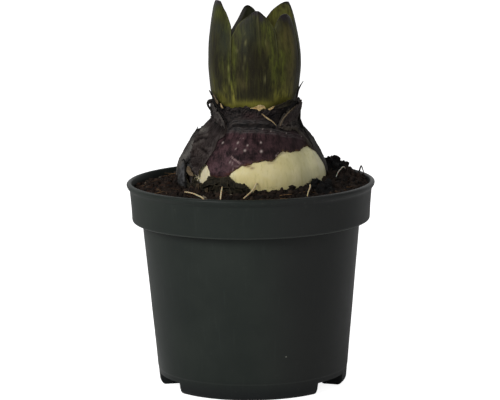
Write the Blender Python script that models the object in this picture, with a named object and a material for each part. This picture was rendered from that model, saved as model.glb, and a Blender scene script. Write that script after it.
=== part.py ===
# A sprouting hyacinth bulb in a round plastic nursery pot.
# Millimetres in the values below, metres in the scene. Z is up, the pot stands on z = 0 with its
# axis on the Z axis, and the side with the torn skin faces -Y. Angles are degrees round the Z axis,
# counted from -Y towards +X.

import math

import bmesh
import bpy
from mathutils import Vector, noise

MM = 0.001
GAP = 0.3
SEAT = 0.05
MERGE_DISTANCE = 1e-6
SHARP_ANGLE = 35.0
RING_STEP = 10.0
TUBE_SIDES = 6
TUBE_STEPS = 2

# Pot, as a 9 cm nursery pot: radius and height down the outside, from the lip to the foot.
POT_OUTSIDE = [
    (44.2, 73.5), (45.0, 72.9), (44.7, 71.6), (43.8, 70.6), (43.2, 64.0), (42.8, 60.0),
    (42.0, 58.4), (40.6, 57.3), (39.3, 56.5), (38.95, 54.5), (37.2, 35.0), (35.2, 13.0),
    (34.1, 1.2), (33.0, 0.0),
]
POT_INSIDE = [(43.3, 73.5), (42.7, 71.0), (42.1, 60.5), (39.9, 57.6), (38.1, 55.4), (36.3, 35.0), (33.5, 5.1)]
POT_SIDES = 48
CAVITY_TOP = 80.0
FLOOR_UNDERSIDE = 4.2
FLOOR_TOP = POT_INSIDE[-1][1]
UNDER_FEET = -1.0
FOOT_COUNT = 3
FOOT_MIDDLE = -4.0
FOOT_SPAN = 92.0
FOOT_INNER_RADIUS = 26.5
FOOT_OUTER_RADIUS = 33.2
FOOT_WALL = 0.9
NOTCH_RADII = (25.5, 37.0)
NOTCH_STEPS = 4
# The hollow inside each foot, drawn in by this many degrees at its ends.
POCKET_RADII = (FOOT_INNER_RADIUS + FOOT_WALL, FOOT_OUTER_RADIUS - 0.5)
POCKET_TOP = FLOOR_TOP + 0.5
POCKET_TRIM = 2.0
POCKET_STEPS = 10
DRAIN_RADIUS = 3.4
DRAIN_RING = 24.0
DRAIN_HEIGHTS = (3.0, 7.0)
DRAIN_SIDES = 12

# Bulb: radius of the outermost skin at each height, and how far its axis leans to +X.
BULB_PROFILE = [
    (46.5, 7.5), (48.5, 9.5), (51.0, 14.0), (57.0, 21.5), (64.0, 26.0), (70.0, 27.4), (75.0, 27.6),
    (80.0, 26.9), (84.0, 25.1), (88.0, 22.9), (91.0, 20.7), (93.0, 18.9), (94.6, 17.5), (96.2, 16.6),
    (98.0, 16.2), (100.0, 16.4), (102.0, 16.8), (104.0, 17.2), (108.0, 17.6),
]
BULB_AXIS = [(46.0, 0.7), (80.0, 0.7), (91.0, 0.7), (94.0, 1.2), (98.0, 2.0), (104.0, 1.9), (119.0, 2.0),
             (128.0, 1.7), (140.0, 1.4)]
SLOPE_STEP = 0.05
LEVELS = [46.5, 50.0, 56.0, 63.0, 69.0, 75.0, 80.0, 84.0, 88.0, 91.0, 93.4, 95.6, 98.0, 101.0, 104.0]
SKIN_WALL = 0.6
DRY_DEPTH = 0.0
PURPLE_DEPTH = DRY_DEPTH + SKIN_WALL + GAP
FLESH_DEPTH = PURPLE_DEPTH + SKIN_WALL + GAP
FLESH_TOP = 96.5
FLESH_RIM_LEVEL = FLESH_TOP + 0.5
SKIN_BOTTOM = 69.0
SKIN_STEP = 12.0

# Edges of the skins as (angle, height).
PURPLE_LOWER = [(-60, 83.5), (-50, 83.0), (-45, 82.3), (-40, 80.8), (-36, 79.6), (-31, 78.4), (-27, 78.3),
                (-22, 79.3), (-17, 80.0), (-14, 81.6), (-10, 82.9), (-3, 82.8), (2, 83.7), (10, 84.7), (16, 84.2),
                (21, 85.0), (26, 87.4), (31, 87.5), (35, 86.7), (42, 86.7), (54, 86.9), (58, 87.8), (75, 87.0),
                (120, 84.0), (180, 85.5), (240, 84.0), (300, 83.5)]
PURPLE_UPPER = [(-60, 103.4), (-45, 102.1), (-32, 101.7), (-21, 102.2), (-11, 102.6), (0, 101.9), (8, 101.5),
                (18, 101.7), (27, 102.6), (37, 102.7), (49, 102.9), (68, 104.0), (80, 102.8), (120, 103.4),
                (160, 102.2), (200, 103.3), (240, 102.3), (280, 104.0), (300, 103.4)]
DRY_LOWER = [(31.5, 95.0), (42, 92.9), (55, 90.0), (66, 87.6), (71.6, 84.1), (72.6, 81.5), (74, 78.5), (76, 75.7),
             (77.5, SKIN_BOTTOM), (306, SKIN_BOTTOM), (307.6, 77.0), (314.3, 78.9), (319.1, 82.5), (323.3, 84.4),
             (325.8, 88.1), (327, 92.0)]
DRY_UPPER = [(31.5, 95.7), (33.4, 97.1), (40, 99.6), (49, 101.0), (60, 101.6), (68, 104.0), (82, 102.6),
             (110, 104.2), (135, 102.0), (160, 103.6), (185, 101.8), (210, 103.2), (240, 102.4), (262, 104.2),
             (285, 105.5), (290, 103.5), (303, 98.5), (316, 96.2), (324, 95.6), (327, 93.2)]
# Angles of the dry skin's columns near its two torn edges.
DRY_RIGHT = [31.5, 36.0, 42.0, 49.0, 57.0, 66.0, 71.6, 72.6, 74.0, 76.0, 77.5]
DRY_LEFT = [298.0, 306.0, 307.6, 314.3, 319.1, 323.3, 325.8, 327.0]
SHRED_UPPER = [(-51.3, 76.4), (-46.7, 75.9), (-40, 79.0), (-36, 80.0), (-31, 78.2), (-28, 78.2), (-22, 79.3),
               (-18, 79.2), (-14, 77.8), (-10, 76.3), (-6, 77.2), (-3.7, 75.9), (1, 72.9), (5, 71.5)]
SCALE_UPPER = [(-8, 101.2), (2, 102.3), (8, 102.5), (12, 101.6), (16, 101.9), (20, 102.4), (23, 101.2)]
SCALE_FOOT = FLESH_TOP + 0.6
SCALE_DEPTH = FLESH_DEPTH - GAP - SKIN_WALL - SEAT
PURPLE_FRONT = 75
COLLAR_BULGE = 1.0
BULGE_LEFT = (-40.0, -22.0)
BULGE_RIGHT = (25.0, 31.5)
BULGE_HEIGHTS = (94.4, 96.8)

# Leaves: radius of the cup that their outer faces lie on, at each height.
LEAF_FOOT = FLESH_TOP + GAP
LEAF_CUP = [(96.0, 14.35), (98.0, 14.3), (100.0, 14.5), (102.0, 14.8), (104.0, 15.35), (106.6, 15.75), (111.0, 16.2),
            (115.5, 16.55), (119.6, 16.5), (124.0, 16.15), (128.0, 15.6), (132.4, 14.85), (136.7, 13.95),
            (140.0, 13.2)]
# For each: tip angle and height, then for the lower-angle side and the other side the half
# spread where the tip's taper ends, the taper's length, the half spread at the foot and how
# pointed it is, and last the two angles that each side turns in between, to pass under its neighbour.
LEAVES = {
    "leaf_front": ((7.0, 136.3), (37.5, 13.0, 40.0, 0.7), (24.0, 9.0, 30.0, 0.7), (-12.0, -24.0), None),
    "leaf_left": ((-70.0, 139.7), (46.0, 14.0, 56.0, 0.7), (40.0, 10.5, 46.0, 0.7), None, None),
    "leaf_right_front": ((57.0, 134.5), (30.0, 9.0, 31.0, 0.7), (30.0, 12.0, 34.0, 0.7), (51.0, 41.0),
                         (58.0, 67.0)),
    "leaf_right_back": ((110.0, 138.0), (20.0, 12.0, 39.0, 0.7), (46.0, 10.0, 54.0, 0.7), None, None),
    "leaf_back": ((189.0, 136.0), (28.0, 10.0, 34.0, 0.7), (44.0, 27.0, 52.0, 0.9), (177.0, 167.0),
                  (220.0, 229.0)),
}
LEAF_TUCK = 1.45
LEAF_EDGE = 0.7
LEAF_MIDDLE = 1.5
LEAF_BLUNT = 0.15
LEAF_LOW_ROWS = [LEAF_FOOT, 98.5, 100.5, 102.5, 104.5, 108.0]
LEAF_HIGH_ROWS = 7
LEAF_ROW_EASE = 1.6
LEAF_COLUMNS = 6
# Distance below the tip over which a leaf reaches its full thickness.
LEAF_THICKENS = 14.0

# Flower bud in the middle of the leaves: radius at each height, and its florets.
BUD_PROFILE = [(LEAF_FOOT, 5.0), (99.0, 6.2), (103.0, 7.6), (108.0, 8.3), (113.0, 7.6), (117.0, 5.8), (120.0, 3.4),
               (121.5, 1.2)]
BUD_COLUMNS = 28
BUD_ROWS = 15
FLORETS_ROUND = 7
FLORET_HEIGHT = 4.6
FLORET_RELIEF = 0.9
FLORET_FADE_RADIUS = 4.0
BUD_CAP = 0.4

# Soil: heights where it meets the bulb and the pot, by angle, and the mound on the right.
SOIL_AT_BULB = [(-180, 77.0), (-120, 76.8), (-85, 76.4), (-60, 74.4), (-40, 74.6), (-10, 74.4), (10, 73.6),
                (40, 74.4), (75, 75.0), (85, 77.5), (120, 78.0), (180, 77.0)]
SOIL_AT_POT = [(-180, 71.0), (-130, 70.6), (-90, 71.0), (-30, 71.0), (30, 71.2), (90, 72.0), (180, 71.0)]
MOUND_PLACE = (32.5, 7.5)
MOUND_HEIGHT = 7.0
MOUND_SPREAD = 5.6
LUMP_HEIGHT = 0.5
LUMP_SIZE = 4.5
SOIL_RINGS = 6
SOIL_FALL = 1.5
# The soil follows the pot's inside up to here, and its top ends this far in from the pot.
SOIL_SIDE_TOP = 65.0
SOIL_RIM_INSET = 0.3
# The hollow for the bulb: its rows, how far under the soil's edge they start, how much lower it ends.
SOCKET_ROWS = 8
SOCKET_START = 1.5
SOCKET_DROP = 0.4
# Soil in the hollow feet, drawn in by this many degrees and joined this far above the floor.
FILL_TRIM = 3.0
FILL_OVERLAP = 2.0
# Where the flesh meets the soil with no skin between: starts, is fully bare, still is, ends.
BARE_FRONT = (10.0, 18.0, 60.0, 70.0)

# Roots that show on the soil: each route leaves the bulb's flesh, rises, lies on the soil and dives.
ROOT_RADIUS = 0.42
ROOT_ROUTES = [
    [(-12, -12, 58), (-21, -19, 64), (-23.8, -22.0, 70.6), (-22.4, -23.8, 73.2), (-19.4, -26.4, 73.3),
     (-15.7, -30.2, 72.4), (-12.6, -33.2, 69.4)],
    [(-6, -15, 58), (-8.8, -26.5, 64), (-9.4, -29.6, 70.5), (-9.8, -29.6, 74.6), (-10.2, -31.6, 73.5),
     (-10.8, -34.4, 72.2), (-11.4, -36.4, 69.0)],
    [(1, -17, 59), (1.4, -27.0, 65), (1.0, -28.6, 70.5), (0.2, -28.8, 73.6), (-1.4, -30.6, 73.0),
     (-3.4, -33.6, 72.2), (-5.2, -36.0, 69.2)],
    [(12, -12, 58), (19.5, -19.5, 64), (21.6, -21.8, 70.5), (20.9, -22.4, 74.0), (20.4, -25.6, 73.5),
     (19.5, -30.4, 72.5), (18.8, -33.0, 69.4)],
    [(17, -3, 59), (29, 0.5, 64), (34.5, 3.4, 72.5), (34.0, 1.2, 78.2), (32.6, -1.4, 77.0),
     (31.4, -4.2, 75.2), (30.6, -6.6, 72.0)],
]
STRAW_ROUTE = [(7.6, 100.3), (12.0, 99.2), (15.6, 98.2), (20.5, 96.8), (25.0, 95.6)]
STRAW_RADIUS = 0.35
STRAW_LIFT = 0.75

COLOURS = {
    "pot": ((0.021, 0.026, 0.024), 0.45),
    "soil": ((0.030, 0.020, 0.013), 0.95),
    "bulb": ((0.62, 0.55, 0.30), 0.5),
    "tunic_purple": ((0.055, 0.022, 0.030), 0.45),
    "tunic_dry": ((0.050, 0.042, 0.040), 0.8),
    "tunic_shreds": ((0.018, 0.018, 0.014), 0.9),
    "inner_scale": ((0.55, 0.40, 0.20), 0.6),
    "straw_strand": ((0.50, 0.42, 0.25), 0.7),
    "leaf": ((0.045, 0.055, 0.016), 0.45),
    "flower_bud": ((0.10, 0.16, 0.045), 0.5),
}


def smooth(low, high, value):
    t = min(1.0, max(0.0, (value - low) / (high - low)))
    return t * t * (3.0 - 2.0 * t)


def read_line(points, x):
    """The height of a line of straight pieces at x."""
    if x <= points[0][0]:
        return points[0][1]
    for (x0, y0), (x1, y1) in zip(points, points[1:]):
        if x <= x1:
            return y0 + (y1 - y0) * (x - x0) / (x1 - x0)
    return points[-1][1]


def read_curve(points, x):
    """The height at x of a smooth curve through points."""
    x = min(points[-1][0], max(points[0][0], x))
    slopes = []
    for i in range(len(points)):
        x0, y0 = points[max(i - 1, 0)]
        x1, y1 = points[min(i + 1, len(points) - 1)]
        slopes.append((y1 - y0) / (x1 - x0))
    for i in range(len(points) - 1):
        (x0, y0), (x1, y1) = points[i], points[i + 1]
        if x <= x1:
            width = x1 - x0
            t = (x - x0) / width
            return ((2 * t**3 - 3 * t**2 + 1) * y0 + (t**3 - 2 * t**2 + t) * width * slopes[i]
                    + (3 * t**2 - 2 * t**3) * y1 + (t**3 - t**2) * width * slopes[i + 1])
    return points[-1][1]


def read_round(points, angle):
    """The height of a line of straight pieces that starts anywhere and covers one full turn."""
    start = points[0][0]
    angle = start + (angle - start) % 360.0
    return read_line(points + [(start + 360.0, points[0][1])], angle)


def polar(angle, radius, height):
    turn = math.radians(angle)
    return Vector((radius * math.sin(turn), -radius * math.cos(turn), height))


def bulb_point(angle, level, depth):
    """A point under the bulb's outermost skin, depth millimetres in, square to its profile."""
    rise = read_curve(BULB_PROFILE, level + SLOPE_STEP) - read_curve(BULB_PROFILE, level - SLOPE_STEP)
    slope = rise / (2.0 * SLOPE_STEP)
    length = math.hypot(1.0, slope)
    radius = read_curve(BULB_PROFILE, level) - depth / length
    height = level + depth * slope / length
    point = polar(angle, radius, height)
    point.x += read_curve(BULB_AXIS, height)
    return point


def material(name, finish):
    colour, roughness = COLOURS[finish]
    made = bpy.data.materials.new(name)
    made.use_nodes = True
    shader = made.node_tree.nodes["Principled BSDF"]
    shader.inputs["Base Color"].default_value = (*colour, 1.0)
    shader.inputs["Roughness"].default_value = roughness
    shader.inputs["Metallic"].default_value = 0.0
    return made


def add_node(name, points, faces, finish=None):
    """A closed mesh as an object: points in millimetres, faces made to point outwards."""
    shape = bmesh.new()
    corners = [shape.verts.new(point * MM) for point in points]
    for face in faces:
        shape.faces.new([corners[i] for i in face])
    bmesh.ops.remove_doubles(shape, verts=shape.verts, dist=MERGE_DISTANCE)
    bmesh.ops.triangulate(shape, faces=shape.faces)
    bmesh.ops.recalc_face_normals(shape, faces=shape.faces)
    mesh = bpy.data.meshes.new(name)
    shape.to_mesh(mesh)
    shape.free()
    mesh.shade_smooth()
    mesh.set_sharp_from_angle(angle=math.radians(SHARP_ANGLE))
    node = bpy.data.objects.new(name, mesh)
    bpy.context.collection.objects.link(node)
    if finish:
        mesh.materials.append(material(name, finish))
    else:
        node.hide_render = True
        node.display_type = "WIRE"
    return node


def cut(node, tool, operation="DIFFERENCE"):
    """A Boolean that is applied at once, with its tool removed."""
    modifier = node.modifiers.new(operation.lower(), "BOOLEAN")
    modifier.operation = operation
    modifier.solver = "EXACT"
    modifier.object = tool
    bpy.context.view_layer.objects.active = node
    bpy.ops.object.modifier_apply(modifier=modifier.name)
    bpy.data.objects.remove(tool)


def ring_angles(first=0.0, last=360.0, step=RING_STEP):
    """Evenly spaced angles from first up to last, without last."""
    count = round((last - first) / step)
    return [first + (last - first) * i / count for i in range(count)]


def ring_faces(columns, rows, closed):
    """Quads of a grid of columns of rows points, in the order of the points."""
    faces = []
    for i in range(columns if closed else columns - 1):
        j = (i + 1) % columns
        for k in range(rows - 1):
            faces.append((i * rows + k, j * rows + k, j * rows + k + 1, i * rows + k + 1))
    return faces


def turned(name, profile_at, angles, finish=None):
    """A closed solid of revolution: profile_at(angle) gives its points from the lower pole to the upper."""
    columns = [profile_at(angle) for angle in angles]
    rows = len(columns[0])
    points = [point for column in columns for point in column]
    return add_node(name, points, ring_faces(len(columns), rows, True), finish)


def plate(name, outer, inner, closed, finish):
    """A thin solid between two grids of the same size. outer and inner are lists of columns."""
    columns, rows = len(outer), len(outer[0])
    points = [point for column in outer for point in column]
    back = len(points)
    points += [point for column in inner for point in column]
    faces = ring_faces(columns, rows, closed)
    faces += [tuple(back + i for i in reversed(face)) for face in faces]
    for i in range(columns if closed else columns - 1):
        j = (i + 1) % columns
        for k in (0, rows - 1):
            faces.append((i * rows + k, back + i * rows + k, back + j * rows + k, j * rows + k))
    if not closed:
        for i in (0, columns - 1):
            for k in range(rows - 1):
                start = i * rows + k
                faces.append((start, start + 1, back + start + 1, back + start))
    return add_node(name, points, faces, finish)


def arc_block(name, radii, heights, start, end, steps):
    """A block that bends round the Z axis between two radii, heights and angles."""
    outer, inner = [], []
    for i in range(steps + 1):
        angle = start + (end - start) * i / steps
        outer.append([polar(angle, radii[1], heights[0]), polar(angle, radii[1], heights[1])])
        inner.append([polar(angle, radii[0], heights[0]), polar(angle, radii[0], heights[1])])
    return plate(name, outer, inner, False, None)


def tube(name, route, radius):
    """A closed tube round a smooth curve through the route's points."""
    path = []
    for i in range(len(route) - 1):
        before, here = Vector(route[max(i - 1, 0)]), Vector(route[i])
        after, last = Vector(route[i + 1]), Vector(route[min(i + 2, len(route) - 1)])
        for k in range(TUBE_STEPS):
            t = k / TUBE_STEPS
            path.append(0.5 * (2 * here + (after - before) * t + (2 * before - 5 * here + 4 * after - last) * t**2
                               + (3 * here - before - 3 * after + last) * t**3))
    path.append(Vector(route[-1]))
    columns = []
    across = None
    for i, place in enumerate(path):
        ahead = (path[min(i + 1, len(path) - 1)] - path[max(i - 1, 0)]).normalized()
        across = ahead.orthogonal() if across is None else across - across.dot(ahead) * ahead
        across.normalize()
        other = ahead.cross(across)
        turns = [math.tau * k / TUBE_SIDES for k in range(TUBE_SIDES)]
        columns.append([place + radius * (math.cos(turn) * across + math.sin(turn) * other) for turn in turns])
    rows = len(columns)
    points = [columns[i][k] for k in range(TUBE_SIDES) for i in range(rows)]
    faces = ring_faces(TUBE_SIDES, rows, True)
    faces.append(tuple(k * rows for k in range(TUBE_SIDES)))
    faces.append(tuple(k * rows + rows - 1 for k in reversed(range(TUBE_SIDES))))
    return add_node(name, points, faces)


def keep(node, name, finish):
    """Turns a helper into a node of its own."""
    node.name = name
    node.hide_render = False
    node.display_type = "TEXTURED"
    node.data.materials.clear()
    node.data.materials.append(material(name, finish))


# Pot

def foot_angles(trim):
    """Start and end of each foot, drawn in by trim degrees."""
    for i in range(FOOT_COUNT):
        middle = FOOT_MIDDLE + i * 360.0 / FOOT_COUNT
        yield middle - FOOT_SPAN / 2 + trim, middle + FOOT_SPAN / 2 - trim


def make_pot():
    angles = ring_angles(0.0, 360.0, 360.0 / POT_SIDES)

    def outside(angle):
        profile = [(0.0, POT_OUTSIDE[-1][1])] + POT_OUTSIDE[::-1] + [(0.0, POT_OUTSIDE[0][1])]
        return [polar(angle, radius, height) for radius, height in profile]

    def inside(angle):
        profile = [(0.0, FLOOR_TOP)] + POT_INSIDE[::-1] + [(POT_INSIDE[0][0], CAVITY_TOP), (0.0, CAVITY_TOP)]
        return [polar(angle, radius, height) for radius, height in profile]

    pot = turned("pot", outside, angles, "pot")
    cut(pot, turned("cavity", inside, angles))
    cut(pot, turned("recess", lambda angle: [
        polar(angle, 0.0, UNDER_FEET), polar(angle, FOOT_INNER_RADIUS, UNDER_FEET),
        polar(angle, FOOT_INNER_RADIUS, FLOOR_UNDERSIDE), polar(angle, 0.0, FLOOR_UNDERSIDE)], angles))
    feet = list(foot_angles(0.0))
    for i, (start, end) in enumerate(feet):
        next_start = feet[(i + 1) % FOOT_COUNT][0] % 360.0
        notch_end = end + (next_start - end) % 360.0
        cut(pot, arc_block("notch", NOTCH_RADII, (UNDER_FEET, FLOOR_UNDERSIDE), end, notch_end, NOTCH_STEPS))
        middle = polar((end + notch_end) / 2, DRAIN_RING, 0.0)
        low, high = DRAIN_HEIGHTS
        cut(pot, turned("drain", lambda angle: [
            middle + polar(angle, radius, height)
            for radius, height in ((0.0, low), (DRAIN_RADIUS, low), (DRAIN_RADIUS, high), (0.0, high))],
            ring_angles(0.0, 360.0, 360.0 / DRAIN_SIDES)))
    for start, end in foot_angles(POCKET_TRIM):
        cut(pot, arc_block("pocket", POCKET_RADII, (FOOT_WALL, POCKET_TOP), start, end, POCKET_STEPS))


# Bulb, with the roots that grow from it

def make_bulb():
    levels = [level for level in LEVELS if level < FLESH_TOP]

    def column(angle):
        points = [bulb_point(angle, level, FLESH_DEPTH) for level in levels]
        rim = bulb_point(angle, FLESH_RIM_LEVEL, FLESH_DEPTH)
        rim.z = FLESH_TOP
        low = Vector((read_curve(BULB_AXIS, LEVELS[0]), 0.0, points[0].z))
        return [low] + points + [rim, Vector((read_curve(BULB_AXIS, FLESH_TOP), 0.0, FLESH_TOP))]

    bulb = turned("bulb", column, ring_angles(), "bulb")
    for route in ROOT_ROUTES:
        cut(bulb, tube("root", route, ROOT_RADIUS), "UNION")


# Skins

def skin(name, angles, lower, upper, depth, closed, finish):
    """A skin on the bulb between two torn edges. depth(angle, level) is that of its outer face."""
    outer, inner = [], []
    for angle in angles:
        low, high = lower(angle), upper(angle)
        levels = [min(high, max(low, level)) for level in [low] + LEVELS + [high]]
        levels.sort()
        outer.append([bulb_point(angle, level, depth(angle, level)) for level in levels])
        inner.append([bulb_point(angle, level, depth(angle, level) + SKIN_WALL) for level in levels])
    return plate(name, outer, inner, closed, finish)


def purple_depth(angle, level):
    """The collar of the purple skin stands out in front, where no dry skin covers it."""
    turn = (angle + 180.0) % 360.0 - 180.0
    bulge = smooth(*BULGE_LEFT, turn) * (1.0 - smooth(*BULGE_RIGHT, turn)) * smooth(*BULGE_HEIGHTS, level)
    return PURPLE_DEPTH - COLLAR_BULGE * bulge


def make_skins():
    front = [angle for angle, _ in PURPLE_LOWER if angle <= PURPLE_FRONT]
    around = front + ring_angles(PURPLE_FRONT, front[0] + 360.0, SKIN_STEP)[1:]
    skin("tunic_purple", around, lambda a: read_round(PURPLE_LOWER, a), lambda a: read_round(PURPLE_UPPER, a),
         purple_depth, True, "tunic_purple")
    around = DRY_RIGHT + ring_angles(DRY_RIGHT[-1], DRY_LEFT[0], SKIN_STEP)[1:] + DRY_LEFT
    skin("tunic_dry", around, lambda a: read_line(DRY_LOWER, a), lambda a: read_line(DRY_UPPER, a),
         lambda a, level: DRY_DEPTH, False, "tunic_dry")
    skin("tunic_shreds", [angle for angle, _ in SHRED_UPPER], lambda a: SKIN_BOTTOM,
         lambda a: read_line(SHRED_UPPER, a), lambda a, level: DRY_DEPTH, False, "tunic_shreds")
    skin("inner_scale", [angle for angle, _ in SCALE_UPPER], lambda a: SCALE_FOOT,
         lambda a: read_line(SCALE_UPPER, a), lambda a, level: SCALE_DEPTH, False, "inner_scale")
    straw = [bulb_point(angle, level, -STRAW_LIFT) for angle, level in STRAW_ROUTE]
    keep(tube("straw", [tuple(point) for point in straw], STRAW_RADIUS), "straw_strand", "straw_strand")


# Leaves and flower bud

def leaf_spread(side, below_tip, length):
    """Half the leaf's spread in degrees, so far below its tip."""
    full, taper, foot, point = side
    if below_tip < taper:
        return full * math.sin(math.pi / 2 * (below_tip / taper) ** point)
    return full + (foot - full) * (below_tip - taper) / (length - taper)


def leaf_tuck(edges, angle):
    """How far a leaf's side passes under its neighbour at this angle."""
    if edges is None:
        return 0.0
    start, end = edges
    t = (angle - start) / (end - start)
    return LEAF_TUCK * smooth(0.0, 1.0, t)


def make_leaf(name, tip, low_side, high_side, low_tuck, high_tuck):
    tip_angle, tip_height = tip
    length = tip_height - LEAF_FOOT
    rise = tip_height - LEAF_LOW_ROWS[-1]
    heights = LEAF_LOW_ROWS + [tip_height - max(LEAF_BLUNT, rise * (1.0 - k / LEAF_HIGH_ROWS) ** LEAF_ROW_EASE)
                               for k in range(1, LEAF_HIGH_ROWS + 1)]
    outer, inner = [], []
    for i in range(LEAF_COLUMNS + 1):
        across = 2.0 * i / LEAF_COLUMNS - 1.0
        outside, inside = [], []
        for height in heights:
            below_tip = tip_height - height
            spread = leaf_spread(low_side if across < 0 else high_side, below_tip, length)
            angle = tip_angle + across * spread
            thick = (1.0 - across**2) * smooth(0.0, LEAF_THICKENS, below_tip)
            wall = LEAF_EDGE + (LEAF_MIDDLE - LEAF_EDGE) * thick
            tuck = max(leaf_tuck(low_tuck, angle), leaf_tuck(high_tuck, angle))
            radius = read_curve(LEAF_CUP, height) - tuck
            for line, reach in ((outside, radius), (inside, radius - wall)):
                point = polar(angle, reach, height)
                point.x += read_curve(BULB_AXIS, height)
                line.append(point)
        outer.append(outside)
        inner.append(inside)
    plate(name, outer, inner, False, "leaf")


def make_bud():
    def column(angle):
        points = []
        for k in range(BUD_ROWS):
            height = BUD_PROFILE[0][0] + (BUD_PROFILE[-1][0] - BUD_PROFILE[0][0]) * k / (BUD_ROWS - 1)
            storey = height / FLORET_HEIGHT
            turn = FLORETS_ROUND * math.radians(angle) + math.pi * math.floor(storey)
            floret = max(0.0, math.sin(math.pi * (storey % 1.0))) * (0.5 + 0.5 * math.cos(turn))
            radius = read_curve(BUD_PROFILE, height)
            point = polar(angle, radius + FLORET_RELIEF * floret * smooth(0.0, FLORET_FADE_RADIUS, radius), height)
            point.x += read_curve(BULB_AXIS, height)
            points.append(point)
        low = Vector((read_curve(BULB_AXIS, points[0].z), 0.0, points[0].z))
        high = Vector((read_curve(BULB_AXIS, points[-1].z), 0.0, points[-1].z + BUD_CAP))
        return [low] + points + [high]

    turned("flower_bud", column, ring_angles(0.0, 360.0, 360.0 / BUD_COLUMNS), "flower_bud")


# Soil

def socket_depth(angle):
    """The hollow for the bulb hugs the bare flesh in front and the skins elsewhere."""
    turn = (angle + 180.0) % 360.0 - 180.0
    bare = smooth(BARE_FRONT[0], BARE_FRONT[1], turn) * (1.0 - smooth(BARE_FRONT[2], BARE_FRONT[3], turn))
    return -GAP - SEAT + (FLESH_DEPTH + SEAT) * bare


def soil_height(angle, share, place):
    """Height of the soil, share of the way from the bulb to the pot."""
    fall = 1.0 - (1.0 - share) ** SOIL_FALL
    height = read_round(SOIL_AT_BULB, angle)
    height += (read_round(SOIL_AT_POT, angle) - height) * fall
    away = (Vector(MOUND_PLACE) - place.xy).length
    height += MOUND_HEIGHT * math.exp(-((away / MOUND_SPREAD) ** 2))
    return height + LUMP_HEIGHT * noise.noise(place / LUMP_SIZE)


def make_soil():
    wall = [(radius - GAP, height) for radius, height in POT_INSIDE[::-1]]
    floor = FLOOR_TOP + GAP

    def column(angle):
        depth = socket_depth(angle)
        edge_level = read_round(SOIL_AT_BULB, angle)
        edge = bulb_point(angle, edge_level, depth)
        top = []
        for k in range(SOIL_RINGS + 1):
            share = k / SOIL_RINGS
            rim_height = read_round(SOIL_AT_POT, angle)
            rim = polar(angle, read_line([(h, r) for r, h in wall], rim_height) - SOIL_RIM_INSET, rim_height)
            place = edge.lerp(rim, share)
            place.z = soil_height(angle, share, Vector((place.x, place.y, 0.0)))
            top.append(place)
        side = [polar(angle, radius, max(floor, height)) for radius, height in wall if height < SOIL_SIDE_TOP]
        levels = [level for level in LEVELS[1:] if level < edge_level - SOCKET_START][::-1]
        socket = [bulb_point(angle, level, depth) for level in levels]
        socket.append(bulb_point(angle, LEVELS[0], -GAP - SEAT))
        while len(socket) < SOCKET_ROWS:
            socket.insert(0, socket[0].copy())
        socket[-1].z -= SOCKET_DROP
        low = Vector((0.0, 0.0, floor))
        deep = Vector((read_curve(BULB_AXIS, LEVELS[0]), 0.0, socket[-1].z))
        return [low] + side + top[::-1] + socket + [deep]

    soil = turned("soil", column, ring_angles(), "soil")
    for start, end in foot_angles(FILL_TRIM):
        cut(soil, arc_block("fill", (POCKET_RADII[0] + GAP, POCKET_RADII[1] - GAP),
                            (FOOT_WALL + GAP, FLOOR_TOP + FILL_OVERLAP), start, end, POCKET_STEPS), "UNION")
    for route in ROOT_ROUTES:
        cut(soil, tube("hole", route, ROOT_RADIUS + GAP + SEAT))


for old in list(bpy.data.objects):
    bpy.data.objects.remove(old)
make_pot()
make_soil()
make_bulb()
make_skins()
for leaf_name, values in LEAVES.items():
    make_leaf(leaf_name, *values)
make_bud()
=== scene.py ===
import math

import bmesh
import bpy
import numpy as np
from mathutils import Matrix, Vector, noise


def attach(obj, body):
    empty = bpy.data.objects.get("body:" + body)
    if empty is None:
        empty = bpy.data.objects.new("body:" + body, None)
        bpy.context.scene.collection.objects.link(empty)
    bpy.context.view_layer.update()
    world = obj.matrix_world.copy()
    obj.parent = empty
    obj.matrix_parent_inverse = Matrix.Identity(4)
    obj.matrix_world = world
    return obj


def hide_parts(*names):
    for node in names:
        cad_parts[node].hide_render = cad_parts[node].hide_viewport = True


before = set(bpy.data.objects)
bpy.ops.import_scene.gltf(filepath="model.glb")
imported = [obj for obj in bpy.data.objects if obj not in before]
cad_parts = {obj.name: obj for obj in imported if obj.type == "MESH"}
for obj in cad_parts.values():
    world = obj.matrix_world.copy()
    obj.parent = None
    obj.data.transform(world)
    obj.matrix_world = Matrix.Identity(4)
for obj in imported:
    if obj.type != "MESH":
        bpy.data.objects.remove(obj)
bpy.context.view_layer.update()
mm = 0.001
fullTurn = 360.0
print("frame loaded:", len(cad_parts), "nodes")


# Reading curves, and noise

wrinkleSizes = {
    "roughness": 0.9,
    "lacunarity": 2.1,
    "sway": 0.6,   # of a crease's width
    "swayLength": 3.0,
    "sharpness": 2.2,
    "power": 1.5,
}


def smooth(low, high, value):
    t = np.clip((np.asarray(value, float) - low) / (high - low), 0.0, 1.0)
    return t * t * (3.0 - 2.0 * t)


def fade(low, high, value):  # 1 up to low, 0 from high on
    return 1.0 - smooth(low, high, value)


def hump(value, middle, width):
    return np.exp(-(((value - middle) / width) ** 2))


def readLine(points, x):
    xs, ys = zip(*points)
    return np.interp(x, xs, ys)


def readRound(points, angle):  # the points cover one full turn and may start anywhere
    start = points[0][0]
    closed = points + [(start + fullTurn, points[0][1])]
    return readLine(closed, start + (np.asarray(angle) - start) % fullTurn)


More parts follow.
